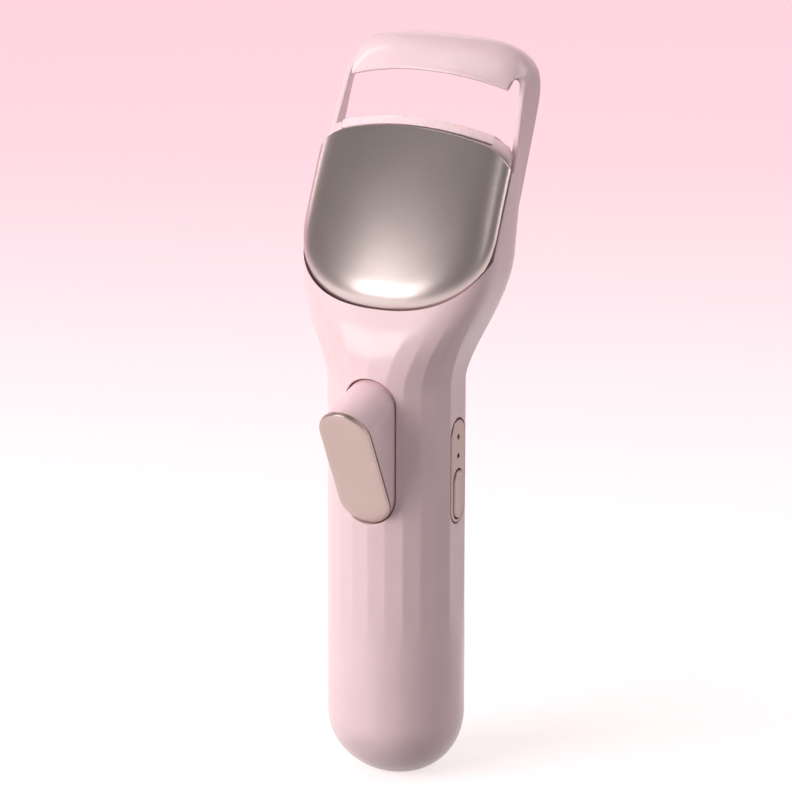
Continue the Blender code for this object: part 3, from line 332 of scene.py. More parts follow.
def brushedSteel(name="steel", colour=finish["steel"], low=0.22, high=0.38):
    # drawn and tumbled steel, with faint scratches both ways
    made, tree, shader = newMaterial(name, colour, 0.3, 1.0)
    scratch = noise(tree, 1500.0, 6.0, 0.7, stretch=(1.0, 0.08, 1.0))
    tint(tree, shader, scratch, [(0.3, scaled(colour, 0.86)), (0.7, scaled(colour, 1.08))])
    ranged(tree, scratch, low, high, shader.inputs["Roughness"])
    relief(tree, shader, [(scratch, 0.08, 0.01), (noise(tree, 2600.0), 0.05, 0.008)])
    return made


def softSilicone():
    # matt rubber with a dusty sheen and a few paler specks
    colour = finish["silicone"]
    made, tree, shader = newMaterial(
        "silicone", colour, 0.58, Sheen_Weight=0.35, Sheen_Roughness=0.4,
        Subsurface_Weight=0.25, Subsurface_Scale=0.001,
    )
    speck = noise(tree, 1400.0, 4.0)
    tint(tree, shader, speck, [(0.3, scaled(colour, 0.95)), (0.72, scaled(colour, 1.05))])
    ranged(tree, speck, 0.52, 0.66, shader.inputs["Roughness"])
    relief(tree, shader, [(noise(tree, 3800.0, 2.0), 0.18, 0.015)])
    return made


def glassNylon():
    # glass-filled nylon: short pale fibres in a matt body
    colour = finish["nylon"]
    made, tree, shader = newMaterial("nylon", colour, 0.5, Subsurface_Weight=0.1, Subsurface_Scale=0.001)
    fibre = noise(tree, 1800.0, 5.0, 0.8, stretch=(0.25, 1.0, 1.0))
    tint(tree, shader, fibre, [(0.35, scaled(colour, 0.86)), (0.7, scaled(colour, 1.12))])
    ranged(tree, fibre, 0.42, 0.6, shader.inputs["Roughness"])
    relief(tree, shader, [(fibre, 0.15, 0.02)])
    return made


def circuitBoard():
    # green mask over a weave of glass, with paler tracks under it
    colour = finish["board"]
    made, tree, shader = newMaterial("circuitBoard", colour, 0.32, Coat_Weight=0.5, Coat_Roughness=0.15)
    track = cells(tree, 520.0, "DISTANCE_TO_EDGE")
    tint(tree, shader, track, [(0.03, scaled(colour, 2.4)), (0.07, colour), (0.9, scaled(colour, 0.85))])
    weave = wave(tree, 900.0, "Z")
    relief(tree, shader, [(weave, 0.08, 0.01), (track, 0.2, 0.02)])
    return made


def plainPlastic(name, colour, low, high, grainScale=2600.0, depth=0.02, **sockets):
    # a moulded or printed surface: speckled colour, uneven gloss and a fine grain
    made, tree, shader = newMaterial(name, colour, 0.5 * (low + high), **sockets)
    grain = noise(tree, grainScale, 3.0)
    tint(tree, shader, grain, [(0.3, scaled(colour, 0.85)), (0.7, scaled(colour, 1.15))])
    ranged(tree, noise(tree, 300.0), low, high, shader.inputs["Roughness"])
    relief(tree, shader, [(grain, 0.2, depth)])
    return made


def printedWrap():
    # shrink film round the cell: bands of faint creases round the foot and the top, their colour darker in the
    # troughs and lighter on the ridges as painted shade and highlight
    colour = (0.06, 0.17, 0.34)
    made, tree, shader = newMaterial("cellWrap", colour, 0.35, Coat_Weight=0.4)
    creaseDepthAndShade = wave(tree, 260.0, "Z", 6.0)
    # darker in the crease troughs and lighter on the ridges: painted shade and painted highlight
    tint(tree, shader, creaseDepthAndShade, [(0.0, scaled(colour, 0.8)), (1.0, scaled(colour, 1.2))])
    relief(tree, shader, [(creaseDepthAndShade, 0.1, 0.05), (noise(tree, 900.0), 0.1, 0.02)])
    return made


def openFoam():
    # open-cell foam: pores painted dark between paler walls, the darkness being painted shade in the holes
    colour = (0.02, 0.02, 0.022)
    made, tree, shader = newMaterial("foam", colour, 0.95)
    poreDepthAndShade = cells(tree, 1700.0)
    # the pores' darkness is painted shade; the same cells give the bump
    tint(tree, shader, poreDepthAndShade, [(0.1, scaled(colour, 0.4)), (0.6, scaled(colour, 2.5))])
    relief(tree, shader, [(poreDepthAndShade, 0.8, 0.1)])
    return made


look = {
    "pink_shell": pinkShell(),
    "champagne_metal": champagneMetal("champagneMetal", finish["champagne"], 0.34),
    # the panel's and button's metal is a darker copy of the champagne metal: painted shade
    "shaded_panel_metal": champagneMetal("shadedPanelMetal", finish["panel"], 0.38),
    "steel": brushedSteel(),
    "silicone": softSilicone(),
    "nylon": glassNylon(),
    "circuit_board": circuitBoard(),
    "black_plastic": plainPlastic("blackPlastic", (0.02, 0.02, 0.021), 0.35, 0.5),
    "clear_plastic": plainPlastic(
        "clearPlastic", (0.85, 0.84, 0.82), 0.08, 0.16, depth=0.004, Transmission_Weight=0.6, IOR=1.49
    ),
    "indicator_light": plainPlastic("indicatorLight", (0.9, 0.86, 0.72), 0.2, 0.3, depth=0.005),
    "cell_wrap": printedWrap(),
    "foam": openFoam(),
    "red_lead": plainPlastic("redLead", (0.5, 0.02, 0.015), 0.35, 0.5),
    "white_lead": plainPlastic("whiteLead", (0.78, 0.77, 0.74), 0.35, 0.5),
}
print("materials made:", len(look))


shieldSize = {
    "thick": 1.1, "roll": 1.9, "rollFrom": 0.84, "planRadius": 50.0, "cornerV": 16.0,
    "topV": 32.0, "arch": 2.2, "shoulder": 2.4, "power": 2.4, "steps": 240, "softFrom": 0.66,
    "softPower": 3.0, "crown": 0.7, "pocketGrow": 0.12,
}


def frontLine(z):
    # upright at the handle's radius, then a parabola into the line that leans with the head
    slope = math.tan(head["lean"])
    leaning = head["footY"] + shieldSize["roll"] / leanCos
    meet = head["footZ"] + (-casing["radius"] - leaning) / slope
    reach = 5.0
    bend = -casing["radius"] + slope * (z - meet + reach) ** 2 / (4.0 * reach)
    lean = leaning + slope * (z - head["footZ"])
    return np.where(z <= meet - reach, -casing["radius"], np.where(z >= meet + reach, lean, bend))


def roundSection(z, turn, inset):
    # a superellipse whose front and rear powers grow from 2 to 4 up the neck, narrowed at the
    # foot by a circle of the handle's own radius
    c = casing
    rise = (z - c["neckStart"]) / (c["neckEnd"] - c["neckStart"])
    half = c["radius"] + (head["half"] - c["radius"]) * eased(rise) - inset
    front = frontLine(z)
    rear = c["radius"] + c["rearSlope"] * np.maximum(0.0, z - c["rearStart"])
    middle = 0.5 * (front + rear)
    sine, cosine = np.sin(turn), np.cos(turn)
    ahead = cosine > 0.0
    power = np.where(ahead, 2.0 + 2.0 * eased(rise), 2.0 + 2.0 * eased(rise / 0.6))
    depth = np.where(ahead, middle - front, rear - middle) - inset
    x = half * signedPower(sine, 2.0 / power)
    y = middle - depth * signedPower(cosine, 2.0 / power)
    crown = math.sqrt(c["radius"] ** 2 - c["baseRadius"] ** 2)
    drawn = (c["radius"] - inset) ** 2 - np.maximum(crown - z, 0.0) ** 2
    scale = np.sqrt(np.maximum(drawn, 0.0)) / (c["radius"] - inset)
    shift = c["baseShift"] * np.maximum(1.0 - z / crown, 0.0) ** 2
    return x * scale, (y - middle) * scale + middle + shift


def casingRings(levels, count, inset):
    # the round section, moved towards the chords between facet corners where the handle is cut
    c = casing
    z = np.asarray(levels, float)[:, None]
    turn = np.linspace(0.0, 2.0 * math.pi, count, endpoint=False)[None, :]
    corners = np.radians([a for a in range(0, 361, 360 // c["facets"]) if a not in (90, 270)])
    index = np.searchsorted(corners, turn[0] + 1e-9) - 1
    low, high = corners[index][None, :], corners[index + 1][None, :]
    share = (turn - low) / (high - low)
    x, y = roundSection(z, turn, inset)
    lowX, lowY = roundSection(z, low, inset)
    highX, highY = roundSection(z, high, inset)
    facet = eased((z - c["facetStart"]) / (c["facetFull"] - c["facetStart"]))
    facet = facet * (1.0 - eased((z - c["facetFade"]) / (c["facetEnd"] - c["facetFade"])))
    x = x * (1 - facet) + (lowX * (1 - share) + highX * share) * facet
    y = y * (1 - facet) + (lowY * (1 - share) + highY * share) * facet
    # the corners are eased by averaging each point with its neighbours in the faceted part
    for _ in range(c["edgeRound"]):
        soft = [0.25 * np.roll(a, 1, 1) + 0.5 * a + 0.25 * np.roll(a, -1, 1) for a in (x, y)]
        x, y = x + (soft[0] - x) * facet, y + (soft[1] - y) * facet
    return np.stack([x, y, np.broadcast_to(z, x.shape)], axis=-1)


def casingLevels(inset, fine):
    # closer levels where the form turns: the round foot, the start of the facets and the neck
    c = casing
    crown = math.sqrt(c["radius"] ** 2 - c["baseRadius"] ** 2)
    footTurn = math.acos(min(1.0, (crown - inset) / (c["radius"] - inset)))
    dome = crown - (c["radius"] - inset) * np.cos(np.linspace(footTurn, math.pi / 2, 10 * fine))
    parts = [
        dome, np.linspace(crown, c["facetStart"], 2 * fine)[1:],
        np.linspace(c["facetStart"], c["facetFull"], 6 * fine)[1:],
        np.linspace(c["facetFull"], c["neckStart"], 3 * fine)[1:],
        np.linspace(c["neckStart"], 97.0, 18 * fine)[1:], np.linspace(97.0, c["top"], 5 * fine)[1:],
    ]
    return np.concatenate(parts)


def shellSteps(name):
    # the hollow inside the wall, ending under the deck, and the cut along the deck
    reach, wall = 60.0, casing["wall"]
    hollow = tubePiece(name + "Hollow", casingRings(casingLevels(wall, 1), casing["innerPoints"], wall))
    roof = headBlock(name + "Roof", (-reach, head["deck"] - wall, -reach), (reach, 2 * reach, reach))
    joinShapes(hollow, [("DIFFERENCE", roof)])
    above = headBlock(name + "Above", (-reach, head["deck"], -reach), (reach, 2 * reach, reach))
    return [("DIFFERENCE", hollow), ("DIFFERENCE", above)]


def partingLine(shift):
    # the (y, z) outline behind the seam between the front housing and the rear cover
    line = [(5.5, -5.0), (5.5, 70.0), (8.8, 84.0), (11.8, 97.0), (13.3, 104.6), (15.5, 120.0),
            (60.0, 120.0), (60.0, -5.0)]
    return [(y + shift, z) for y, z in line]


def shieldPlan(x):
    return -x * x / (2.0 * shieldSize["planRadius"])


def shieldTop(x, grow=0.0):
    s = shieldSize
    share = x / head["half"]
    return s["topV"] + grow - s["arch"] * share ** 2 - s["shoulder"] * share ** 8


def shieldPlace(ring, along, grow=0.0):
    # nested U lines: a half superellipse under two uprights, the ring scaling all of them
    s = shieldSize
    half, drop = (head["half"] + grow) * ring, (s["cornerV"] + grow) * ring
    angle = math.pi * (along - 0.25) / 0.5
    bowlX = -half * signedPower(np.cos(angle), 2.0 / s["power"])
    bowlV = s["cornerV"] - drop * np.abs(np.sin(angle)) ** (2.0 / s["power"])
    sideX = np.where(along < 0.5, -half, half)
    share = np.abs(along - 0.5) * 4.0 - 1.0
    sideV = s["cornerV"] + (shieldTop(sideX, grow) - s["cornerV"]) * share
    bowl = (along >= 0.25) & (along <= 0.75)
    return np.where(bowl, bowlX, sideX), np.where(bowl, bowlV, sideV)


jaw = {
    "frontW": -1.6, "planRadius": 38.0, "arch": 1.3, "topV": 34.0, "thick": 3.2, "padHalf": 14.2,
    "padHeight": 1.6, "padGrow": 0.24,
}


def jawPlan(x):
    return -x * x / (2.0 * jaw["planRadius"])


def jawArch(x):
    return -jaw["arch"] * (x / jaw["padHalf"]) ** 2


hoop = {
    "half": 17.9, "springV": 34.0, "rise": 16.1, "power": 5.0, "thick": 1.0, "armW": -7.0,
    "armDepth": 5.3, "armFootV": 22.0, "armTaper": 1.7, "notchFromV": 27.0, "notchV": 43.0,
    "notchIn": 0.9, "lipHalf": 14.6, "lipTurn": math.radians(50.0), "armTurn": math.radians(76.0),
    "swell": (2.2, 7.1, 2.1), "lashGap": 8.3, "edge": 0.34,
}


def hoopLine(turn, depth):
    # the rear edge: a high superellipse over the top, running down straight past a quarter turn
    h = hoop
    half = h["half"] - depth
    angle = np.abs(turn)
    overX = half * np.abs(np.sin(angle)) ** (2.0 / h["power"])
    overV = h["springV"] + (h["rise"] - depth) * np.maximum(0.0, np.cos(angle)) ** (2.0 / h["power"])
    down = (angle - math.pi / 2) / (math.pi / 4)
    below = angle > math.pi / 2
    x = np.where(below, half, overX)
    v = np.where(below, h["springV"] - (h["springV"] - h["armFootV"]) * down, overV)
    return np.where(turn < 0, -1.0, 1.0) * x, v


def hoopPoints(turn, t, depth):
    # a bent strip: a quadratic curve from the rear edge over a swollen middle to the lip
    h = hoop
    side = np.where(turn < 0, -1.0, 1.0)
    angle = np.abs(turn)
    x, v = hoopLine(turn, depth)
    rear = np.stack(np.broadcast_arrays(x, v, h["armW"] - h["armDepth"] + h["armTaper"] * depth), -1)
    lipX = h["lipHalf"] * np.minimum(1.0, np.abs(x) / np.abs(hoopLine(np.full_like(x, h["lipTurn"]), depth)[0]))
    lip = np.stack([
        side * lipX, jaw["topV"] + h["lashGap"] + jawArch(lipX), jaw["frontW"] + jawPlan(lipX) - 1.1 * depth,
    ], -1)
    notch = eased((v - h["notchFromV"]) / (h["notchV"] - h["notchFromV"]))
    arm = np.stack(np.broadcast_arrays(x - side * h["notchIn"] * notch, v, h["armW"]), -1)
    share = np.clip((angle - h["lipTurn"]) / (h["armTurn"] - h["lipTurn"]), 0.0, 1.0)[..., None]
    front = lip * (1.0 - share) + arm * share
    swell = np.cos(0.5 * math.pi * np.minimum(1.0, angle / h["armTurn"]))
    bulge = np.stack(np.broadcast_arrays(
        side * h["swell"][0] * np.sin(angle), h["swell"][1] - 0.85 * depth, h["swell"][2]
    ), -1) * swell[..., None]
    middle = 0.5 * (rear + front) + bulge
    t = t[..., None]
    return rear * (1 - t) ** 2 + middle * 2 * t * (1 - t) + front * t * t


def hoopPiece():
    # the section is a long rounded oblong in (t, depth), carried round the hoop's turns
    half = np.concatenate([
        np.linspace(-135, -90, 12), np.linspace(-90, -76, 26)[1:], np.linspace(-76, -50, 30)[1:],
        np.linspace(-50, 0, 46)[1:],
    ])
    turns = np.radians(np.concatenate([half, -half[-2::-1]]))[:, None]
    corner = np.linspace(0.0, math.pi / 2, 6)
    edge, flat = hoop["edge"], 0.045
    span = np.linspace(flat, 1 - flat, 20)[1:-1]
    t = np.concatenate([
        flat - flat * np.cos(corner), span, 1 - flat + flat * np.sin(corner),
        1 - flat + flat * np.cos(corner), span[::-1], flat - flat * np.sin(corner),
    ])
    d = np.concatenate([
        edge - edge * np.sin(corner), np.zeros(span.size), edge - edge * np.cos(corner),
        1 - edge + edge * np.sin(corner), np.ones(span.size), 1 - edge + edge * np.cos(corner),
    ])
    turnGrid, tGrid = np.broadcast_arrays(turns, t[None, :])
    depthGrid = np.broadcast_to(d[None, :] * hoop["thick"], turnGrid.shape)
    local = hoopPoints(turnGrid, tGrid, depthGrid)
    return tubePiece("hoop", headPlace(local[..., 0], local[..., 1], local[..., 2]))


trigger = {
    "half": 4.95, "foot": 47.8, "top": 74.2, "y": -7.9, "z": 45.5, "pin": 0.8,
    "faceFootY": -12.5, "faceFootZ": 48.6, "faceTopY": -24.8, "faceTopZ": 71.3,
}
panel = {
    "half": 2.75, "foot": 46.6, "top": 65.1, "face": 11.75, "thick": 1.4, "windowRadius": 0.45,
    "windows": (58.6, 62.0), "buttonHalf": 1.75, "buttonFoot": 47.4, "buttonTop": 56.0,
}


# what stands inside the front housing to hold the trigger pin, the chassis and the board
support = {
    "triggerBossFrom": 2.9, "triggerBossTo": 6.0, "triggerBossRadius": 2.0, "boreReach": 5.5,
    "chassisFootV": 15.0, "chassisTopV": 19.0, "chassisBackW": -6.5,
    "chassis": (("Rib", 13.9, 17.1, -5.3), ("Boss", 10.8, 14.4, -3.7)),
    "boardZ": (43.7, 69.3), "boardFromX": 7.7, "boardToX": 10.9, "boardRadius": 1.8,
}
# the charging mouth in the rear cover: half height, half distance of its ends, height, then its steps
chargingMouth = {
    "half": 1.63, "reach": 2.84, "z": 8.5,
    "steps": ((9.0, 0.3), (11.35, 0.3), (12.2, 0.95), (20.0, 0.95)),
}


def openingCutter():
    # a slot along y, from straight rings in front to rings that follow the round wall. Behind the
    # surface it is a little tighter, which leaves a thin chamfer at the mouth
    rings = []
    for followsWall, step, grow in ((0, -30.0, 0.0), (1, -0.06, 0.0), (1, 0.2, -0.13), (1, 6.0, -0.13)):
        line = capsuleLine(trigger["half"] + grow, trigger["foot"] - grow, trigger["top"] + grow, 32)
        wall = -np.sqrt(casing["radius"] ** 2 - line[:, 0] ** 2)
        rings.append(np.stack([line[:, 0], followsWall * wall + step, line[:, 1]], axis=1))
    return tubePiece("openingCutter", rings)


def panelCutter():
    # the panel's slot, flared a little at its mouth
    p, gap = panel, casing["gap"]
    rings = []
    for x, grow in ((8.0, 0.0), (11.62, 0.0), (11.9, 0.25), (14.0, 0.25)):
        line = capsuleLine(p["half"] + gap + grow, p["foot"] - gap - grow, p["top"] + gap + grow, 20)
        rings.append(np.stack([np.full(len(line), x), line[:, 0], line[:, 1]], axis=1))
    return tubePiece("panelCutter", rings)


def frontHousing():
    gap = casing["gap"]
    shell = tubePiece("front_shell", casingRings(casingLevels(0.0, 3), casing["ringPoints"], 0.0))
    steps = shellSteps("front")
    steps.append(("DIFFERENCE", slabPiece("rearRoom", partingLine(-gap / 2), 0, -60.0, 60.0)))
    along = np.linspace(0.0, 1.0, 161)
    pocketX, pocketV = shieldPlace(1.0, along, shieldSize["pocketGrow"])
    line = np.stack([pocketX, pocketV], 1)
    line = np.concatenate([[(line[0, 0], 60.0)], line, [(line[-1, 0], 60.0)]])
    sideW = shieldPlan(head["half"]) - shieldSize["roll"] - shieldSize["crown"] - gap
    steps.append(("DIFFERENCE", tubePiece(
        "shieldPocket", [headPlace(line[:, 0], line[:, 1], w) for w in (sideW, 40.0)]
    )))
    steps.append(("UNION", hoopPiece()))
    half = head["half"] - casing["wall"] - 0.1
    x = np.linspace(-half, half, 41)
    back = jaw["frontW"] + jawPlan(x) - jaw["thick"] - 0.5
    slotX, slotW = np.append(x, [half, -half]), np.append(back, [10.0, 10.0])
    steps.append(("DIFFERENCE", tubePiece(
        "jawSlot", [headPlace(slotX, v, slotW) for v in (head["deck"] - 6.0, head["deck"] + 4.0)]
    )))
    steps += [("DIFFERENCE", openingCutter()), ("DIFFERENCE", panelCutter())]
    for side in (-1.0, 1.0):
        mark = "Left" if side < 0 else "Right"
        y, z, r = trigger["y"], trigger["z"], support["triggerBossRadius"]
        steps.append(("UNION", rodPiece(
            "triggerBoss" + mark, (side * support["triggerBossFrom"], y, z),
            (side * support["triggerBossTo"], y, z), [(0, r), (1, r)], 40,
        )))
        for part, low, high, top in support["chassis"]:
            inner, outer = sorted((side * low, side * high))
            steps.append(("UNION", headBlock(
                "chassis" + part + mark, (inner, support["chassisFootV"], support["chassisBackW"]),
                (outer, support["chassisTopV"], top),
            )))
    r = support["boardRadius"]
    for z in support["boardZ"]:
        steps.append(("UNION", rodPiece(
            "boardBoss%d" % z, (support["boardFromX"], 0, z), (support["boardToX"], 0, z), [(0, r), (1, r)], 32
        )))
    bore, reach = trigger["pin"] + 0.04, support["boreReach"]
    steps.append(("DIFFERENCE", rodPiece(
        "pinBore", (-reach, trigger["y"], trigger["z"]), (reach, trigger["y"], trigger["z"]),
        [(0, bore), (1, bore)], 32,
    )))
    joinShapes(shell, steps)
    return finishPiece(shell, look["pink_shell"], "casing", ["front_housing"])


def rearCover():
    gap = casing["gap"]
    shell = tubePiece("rear_shell", casingRings(casingLevels(0.0, 3), casing["ringPoints"], 0.0))
    steps = shellSteps("rear")
    steps.append(("INTERSECT", slabPiece("coverRoom", partingLine(gap / 2), 0, -60.0, 60.0)))
    rings, mouth = [], chargingMouth
    for y, grow in mouth["steps"]:
        half = mouth["half"] + grow
        line = capsuleLine(half, -mouth["reach"] - half, mouth["reach"] + half, 16)
        rings.append(np.stack([line[:, 1], np.full(len(line), y), mouth["z"] + line[:, 0]], axis=1))
    steps.append(("DIFFERENCE", tubePiece("usbMouth", rings)))
    joinShapes(shell, steps)
    return finishPiece(shell, look["pink_shell"], "casing", ["rear_cover"])


frontHousing()
print("front housing made")
rearCover()
print("rear cover made")


def faceShield():
    s = shieldSize
    rings = np.concatenate([np.linspace(0, s["softFrom"], 18), np.linspace(s["softFrom"], 1.0, 34)[1:]])[:, None]
    along = np.linspace(0.0, 1.0, s["steps"] + 1)[None, :]
    reach = np.clip((rings - s["rollFrom"]) / (1.0 - s["rollFrom"]), 0.0, 1.0)
    wide = np.clip((rings - s["softFrom"]) / (1.0 - s["softFrom"]), 0.0, 1.0)
    roll = s["roll"] * (1.0 - np.sqrt(1.0 - wide ** s["softPower"]))
    grids = []
    for depth, inset in ((0.0, 0.0), (s["thick"], s["thick"])):
        x, v = shieldPlace(rings * (1.0 - inset / head["half"]), along)
        crown = s["crown"] * ((v - s["cornerV"]) / s["cornerV"]) ** 2
        grids.append(headPlace(x, v, shieldPlan(x) - crown - roll - depth * (1.0 - reach ** 4)))
    made = platePiece("face_plate", grids[0], grids[1], sewn=True)
    return finishPiece(
        made, champagneMetal("shieldMetal", finish["shield"], 0.32, 0.0), "casing",
        ["face_shield"], bevel=0.22, segments=3, sharp=40.0,
    )


faceShield()
print("shield made")


def faceY(z, depth):
    # the slanting face's y at a height, with the depth measured square into it
    slope = (trigger["faceTopY"] - trigger["faceFootY"]) / (trigger["faceTopZ"] - trigger["faceFootZ"])
    return trigger["faceFootY"] + slope * (z - trigger["faceFootZ"]) + depth * math.hypot(1.0, slope)


def triggerCap():
    # slot-shaped rings: a thin rim and a fine groove, then a pillow whose depth under the face
    # falls off as a square root towards the middle line
    profile = [(0.1, 1.5), (0.0, 1.42), (0.0, 1.2), (0.07, 1.13), (0.2, 1.11), (0.2, 1.05)]
    inset = 4.5 * np.linspace(0.0, 0.97, 26) ** 1.8
    pillow = 0.98 * (1.0 - np.sqrt(1.0 - (1.0 - inset / 4.5) ** 3.4))
    profile += list(zip(0.08 + inset, pillow))
    half = trigger["half"] - casing["gap"]
    rings = []
    for inset, depth in profile:
        line = capsuleLine(half - inset, trigger["foot"] + casing["gap"] + inset, trigger["faceTopZ"] - inset, 40)
        rings.append(np.stack([line[:, 0], faceY(line[:, 1], depth), line[:, 1]], axis=1))
    cap = tubePiece("trigger_face", rings)
    return finishPiece(
        cap, look["champagne_metal"], "trigger",
        ["trigger_cap"], sharp=50.0,
    )


triggerCap()


def jawBar(name, half, low, high, front, back, columns=161):
    # a bar that follows the jaw's plan and arch, between two heights and two depths
    x = np.linspace(-half, half, columns)[None, :]
    rise = np.linspace(low, high, 5)[:, None]
    grids = [
        headPlace(x, jaw["topV"] + jawArch(x) + rise, jaw["frontW"] + jawPlan(x) - depth)
        for depth in (front, back)
    ]
    return platePiece(name, grids[0], grids[1])


def jawPad():
    made = jawBar("pad_strip", jaw["padHalf"] + jaw["padGrow"], -jaw["padHeight"], 0.0, 0.0, jaw["thick"])
    return finishPiece(
        made, look["silicone"], "jaw", ["jaw_pad"], bevel=0.45, segments=5, sharp=40.0
    )


jawPad()
print("jaw and trigger faces made")


def slabWithLip(name, half, foot, top, profile):
    # slot-shaped rings along x, each drawn in by its own inset
    rings = []
    for x, inset in profile:
        line = capsuleLine(half - inset, foot + inset, top - inset, 28)
        rings.append(np.stack([np.full(len(line), x), line[:, 0], line[:, 1]], axis=1))
    return tubePiece(name, rings)


def controlPanel():
    p = panel
    face, back = p["face"], p["face"] - p["thick"]
    made = slabWithLip("panel_plate", p["half"], p["foot"], p["top"], [
        (back, 0.0), (face - 0.28, 0.0), (face - 0.12, 0.05), (face - 0.04, 0.15), (face, 0.3),
    ])
    play = 0.25
    steps = [("DIFFERENCE", slabWithLip(
        "buttonHole", p["buttonHalf"] + play, p["buttonFoot"] - play, p["buttonTop"] + play,
        [(back - 1, 0.0), (face - 0.14, 0.0), (face + 0.02, -0.14), (face + 1, -0.14)],
    ))]
    for z in p["windows"]:
        r = p["windowRadius"]
        span = p["thick"] + 2.0
        steps.append(("DIFFERENCE", rodPiece(
            "window%d" % z, (back - 1, 0, z), (face + 1, 0, z),
            [(0, r), ((span - 1.1) / span, r), ((span - 0.98) / span, r + 0.12), (1, r + 0.12)], 32,
        )))
    joinShapes(made, steps)
    return finishPiece(
        made, look["shaded_panel_metal"], "casing", ["control_panel"], sharp=3.0
    )


def powerButton():
    p = panel
    top = p["face"] - p["thick"] - casing["gap"]
    low, face = top - 0.65, p["face"] + 0.2
    made = slabWithLip("button_key", p["buttonHalf"], p["buttonFoot"], p["buttonTop"], [
        (low, -0.55), (top - 0.1, -0.55), (top, -0.45), (top, 0.0), (face - 0.25, 0.0), (face - 0.1, 0.06),
        (face - 0.03, 0.16), (face, 0.3), (face - 0.015, 0.6), (face - 0.05, 1.1), (face - 0.07, 1.55),
    ])
    return finishPiece(
        made, look["shaded_panel_metal"], "button", ["power_button"], sharp=3.0
    )


controlPanel()
powerButton()
print("panel and button made")


def softened(node, name, slot, body, bevel, segments=2, sharp=40.0):
    # a merged copy of the frame's solid with flat areas made whole and its edges rounded
    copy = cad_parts[node].data.copy()
    shape = bmesh.new()
    shape.from_mesh(copy)
    bmesh.ops.remove_doubles(shape, verts=shape.verts, dist=2e-6)
    bmesh.ops.dissolve_limit(
        shape, angle_limit=math.radians(0.4), verts=shape.verts, edges=shape.edges,
        use_dissolve_boundaries=False,
    )
    shape.to_mesh(copy)
    shape.free()
    copy.name = name
    piece = bpy.data.objects.new(name, copy)
    bpy.context.scene.collection.objects.link(piece)
    finishPiece(piece, look[slot], body, [node], bevel, segments, sharp)
    level = piece.modifiers.new("flatsStayFlat", "WEIGHTED_NORMAL")
    level.keep_sharp = True
    return piece


softParts = (
    ("jaw_carriage", "jaw_frame", "pink_shell", "jaw", 0.16),
    ("heating_plate", "heater_bar", "steel", "jaw", 0.1),
    ("trigger_lever", "trigger_body", "pink_shell", "trigger", 0.14),
    ("bell_crank", "crank_lever", "nylon", "crank", 0.1),
    ("pull_rod", "pull_link", "steel", "rod", 0.1),
    ("head_chassis", "chassis_plate", "nylon", "casing", 0.12),
    ("spring_seat", "spring_disc", "nylon", "casing", 0.12),
    ("main_board", "logic_board", "circuit_board", "casing", 0.08),
    ("charging_board", "charger_board", "circuit_board", "casing", 0.08),
    ("tact_switch", "switch_block", "black_plastic", "casing", 0.08),
    ("light_guide", "guide_block", "clear_plastic", "casing", 0.08),
    ("battery_cell", "cell_can", "cell_wrap", "casing", 0.3),
    ("battery_cushion", "cell_cushion", "foam", "casing", 0.2),
    ("usb_socket", "charging_inlet", "steel", "casing", 0.07),
)
for node, name, slot, body, bevel in softParts:
    softened(node, name, slot, body, bevel)
kept = {
    "steel": ("yoke_pin", "upper_rod_pin", "lower_rod_pin", "crank_pin", "trigger_pin", "return_spring",
              "lower_board_screw", "upper_board_screw", "left_chassis_screw", "right_chassis_screw"),
    "indicator_light": ("lower_indicator_light", "upper_indicator_light"),
    "black_plastic": ("battery_lead_black",),
    "red_lead": ("battery_lead_red",),
    "white_lead": ("charging_lead", "heater_lead"),
}
for slot, names in kept.items():
    for name in names:
        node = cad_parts[name]
        node.data.materials.clear()
        node.data.materials.append(look[slot])
print("inner parts finished")


stage = {
    "turn": math.radians(24.8), "half": 1.6, "back": 1.1, "cove": 0.5, "height": 1.4,
    "white": (0.97, 0.9, 0.9), "pink": (1.0, 0.64, 0.71), "glow": 0.74,
}


def backdrop():
    # a floor that turns up through a quarter circle into a wall square to the view
    s = stage
    bend = np.linspace(0.0, math.pi / 2, 24)
    y = np.concatenate([[-s["half"], 0.0, s["back"]], s["back"] + s["cove"] * np.sin(bend), [s["back"] + s["cove"]]])
    z = np.concatenate([[0.0, 0.0, 0.0], s["cove"] * (1.0 - np.cos(bend)), [s["height"]]])
    x = np.linspace(-2.4, 2.4, 9)
    grid = np.stack(np.broadcast_arrays(x[None, :], y[:, None], z[:, None]), axis=-1)
    turn = np.array([
        [math.cos(s["turn"]), -math.sin(s["turn"]), 0], [math.sin(s["turn"]), math.cos(s["turn"]), 0], [0, 0, 1],
    ])
    floor = meshPiece("backdrop", (grid @ turn.T).reshape(-1, 3) / mm, gridFaces(len(y), len(x)))
    floor.location.z = -0.00005
    made, tree, shader = newMaterial("paper", s["white"], 0.8)
    split = tree.nodes.new("ShaderNodeSeparateXYZ")
    tree.links.new(place(tree, turn=(0, 0, -s["turn"])), split.inputs["Vector"])
    span = tree.nodes.new("ShaderNodeMapRange")
    span.interpolation_type = "SMOOTHSTEP"
    span.inputs["From Min"].default_value = 0.03
    span.inputs["From Max"].default_value = 0.5
    tree.links.new(split.outputs["Y"], span.inputs["Value"])
    tint(tree, shader, span.outputs["Result"], [(0.0, scaled(s["white"], 0.5)), (1.0, scaled(s["pink"], 0.5))])
    glow = tree.nodes.new("ShaderNodeValToRGB")
    for element, colour in zip(glow.color_ramp.elements, (s["white"], s["pink"])):
        element.color = (*colour, 1.0)
    tree.links.new(span.outputs["Result"], glow.inputs["Fac"])
    tree.links.new(glow.outputs["Color"], shader.inputs["Emission Color"])
    shader.inputs["Emission Strength"].default_value = s["glow"]
    floor.data.materials.append(made)
    floor.data.shade_smooth()
    floor.visible_diffuse = False  # it shows and mirrors, and adds no light of its own


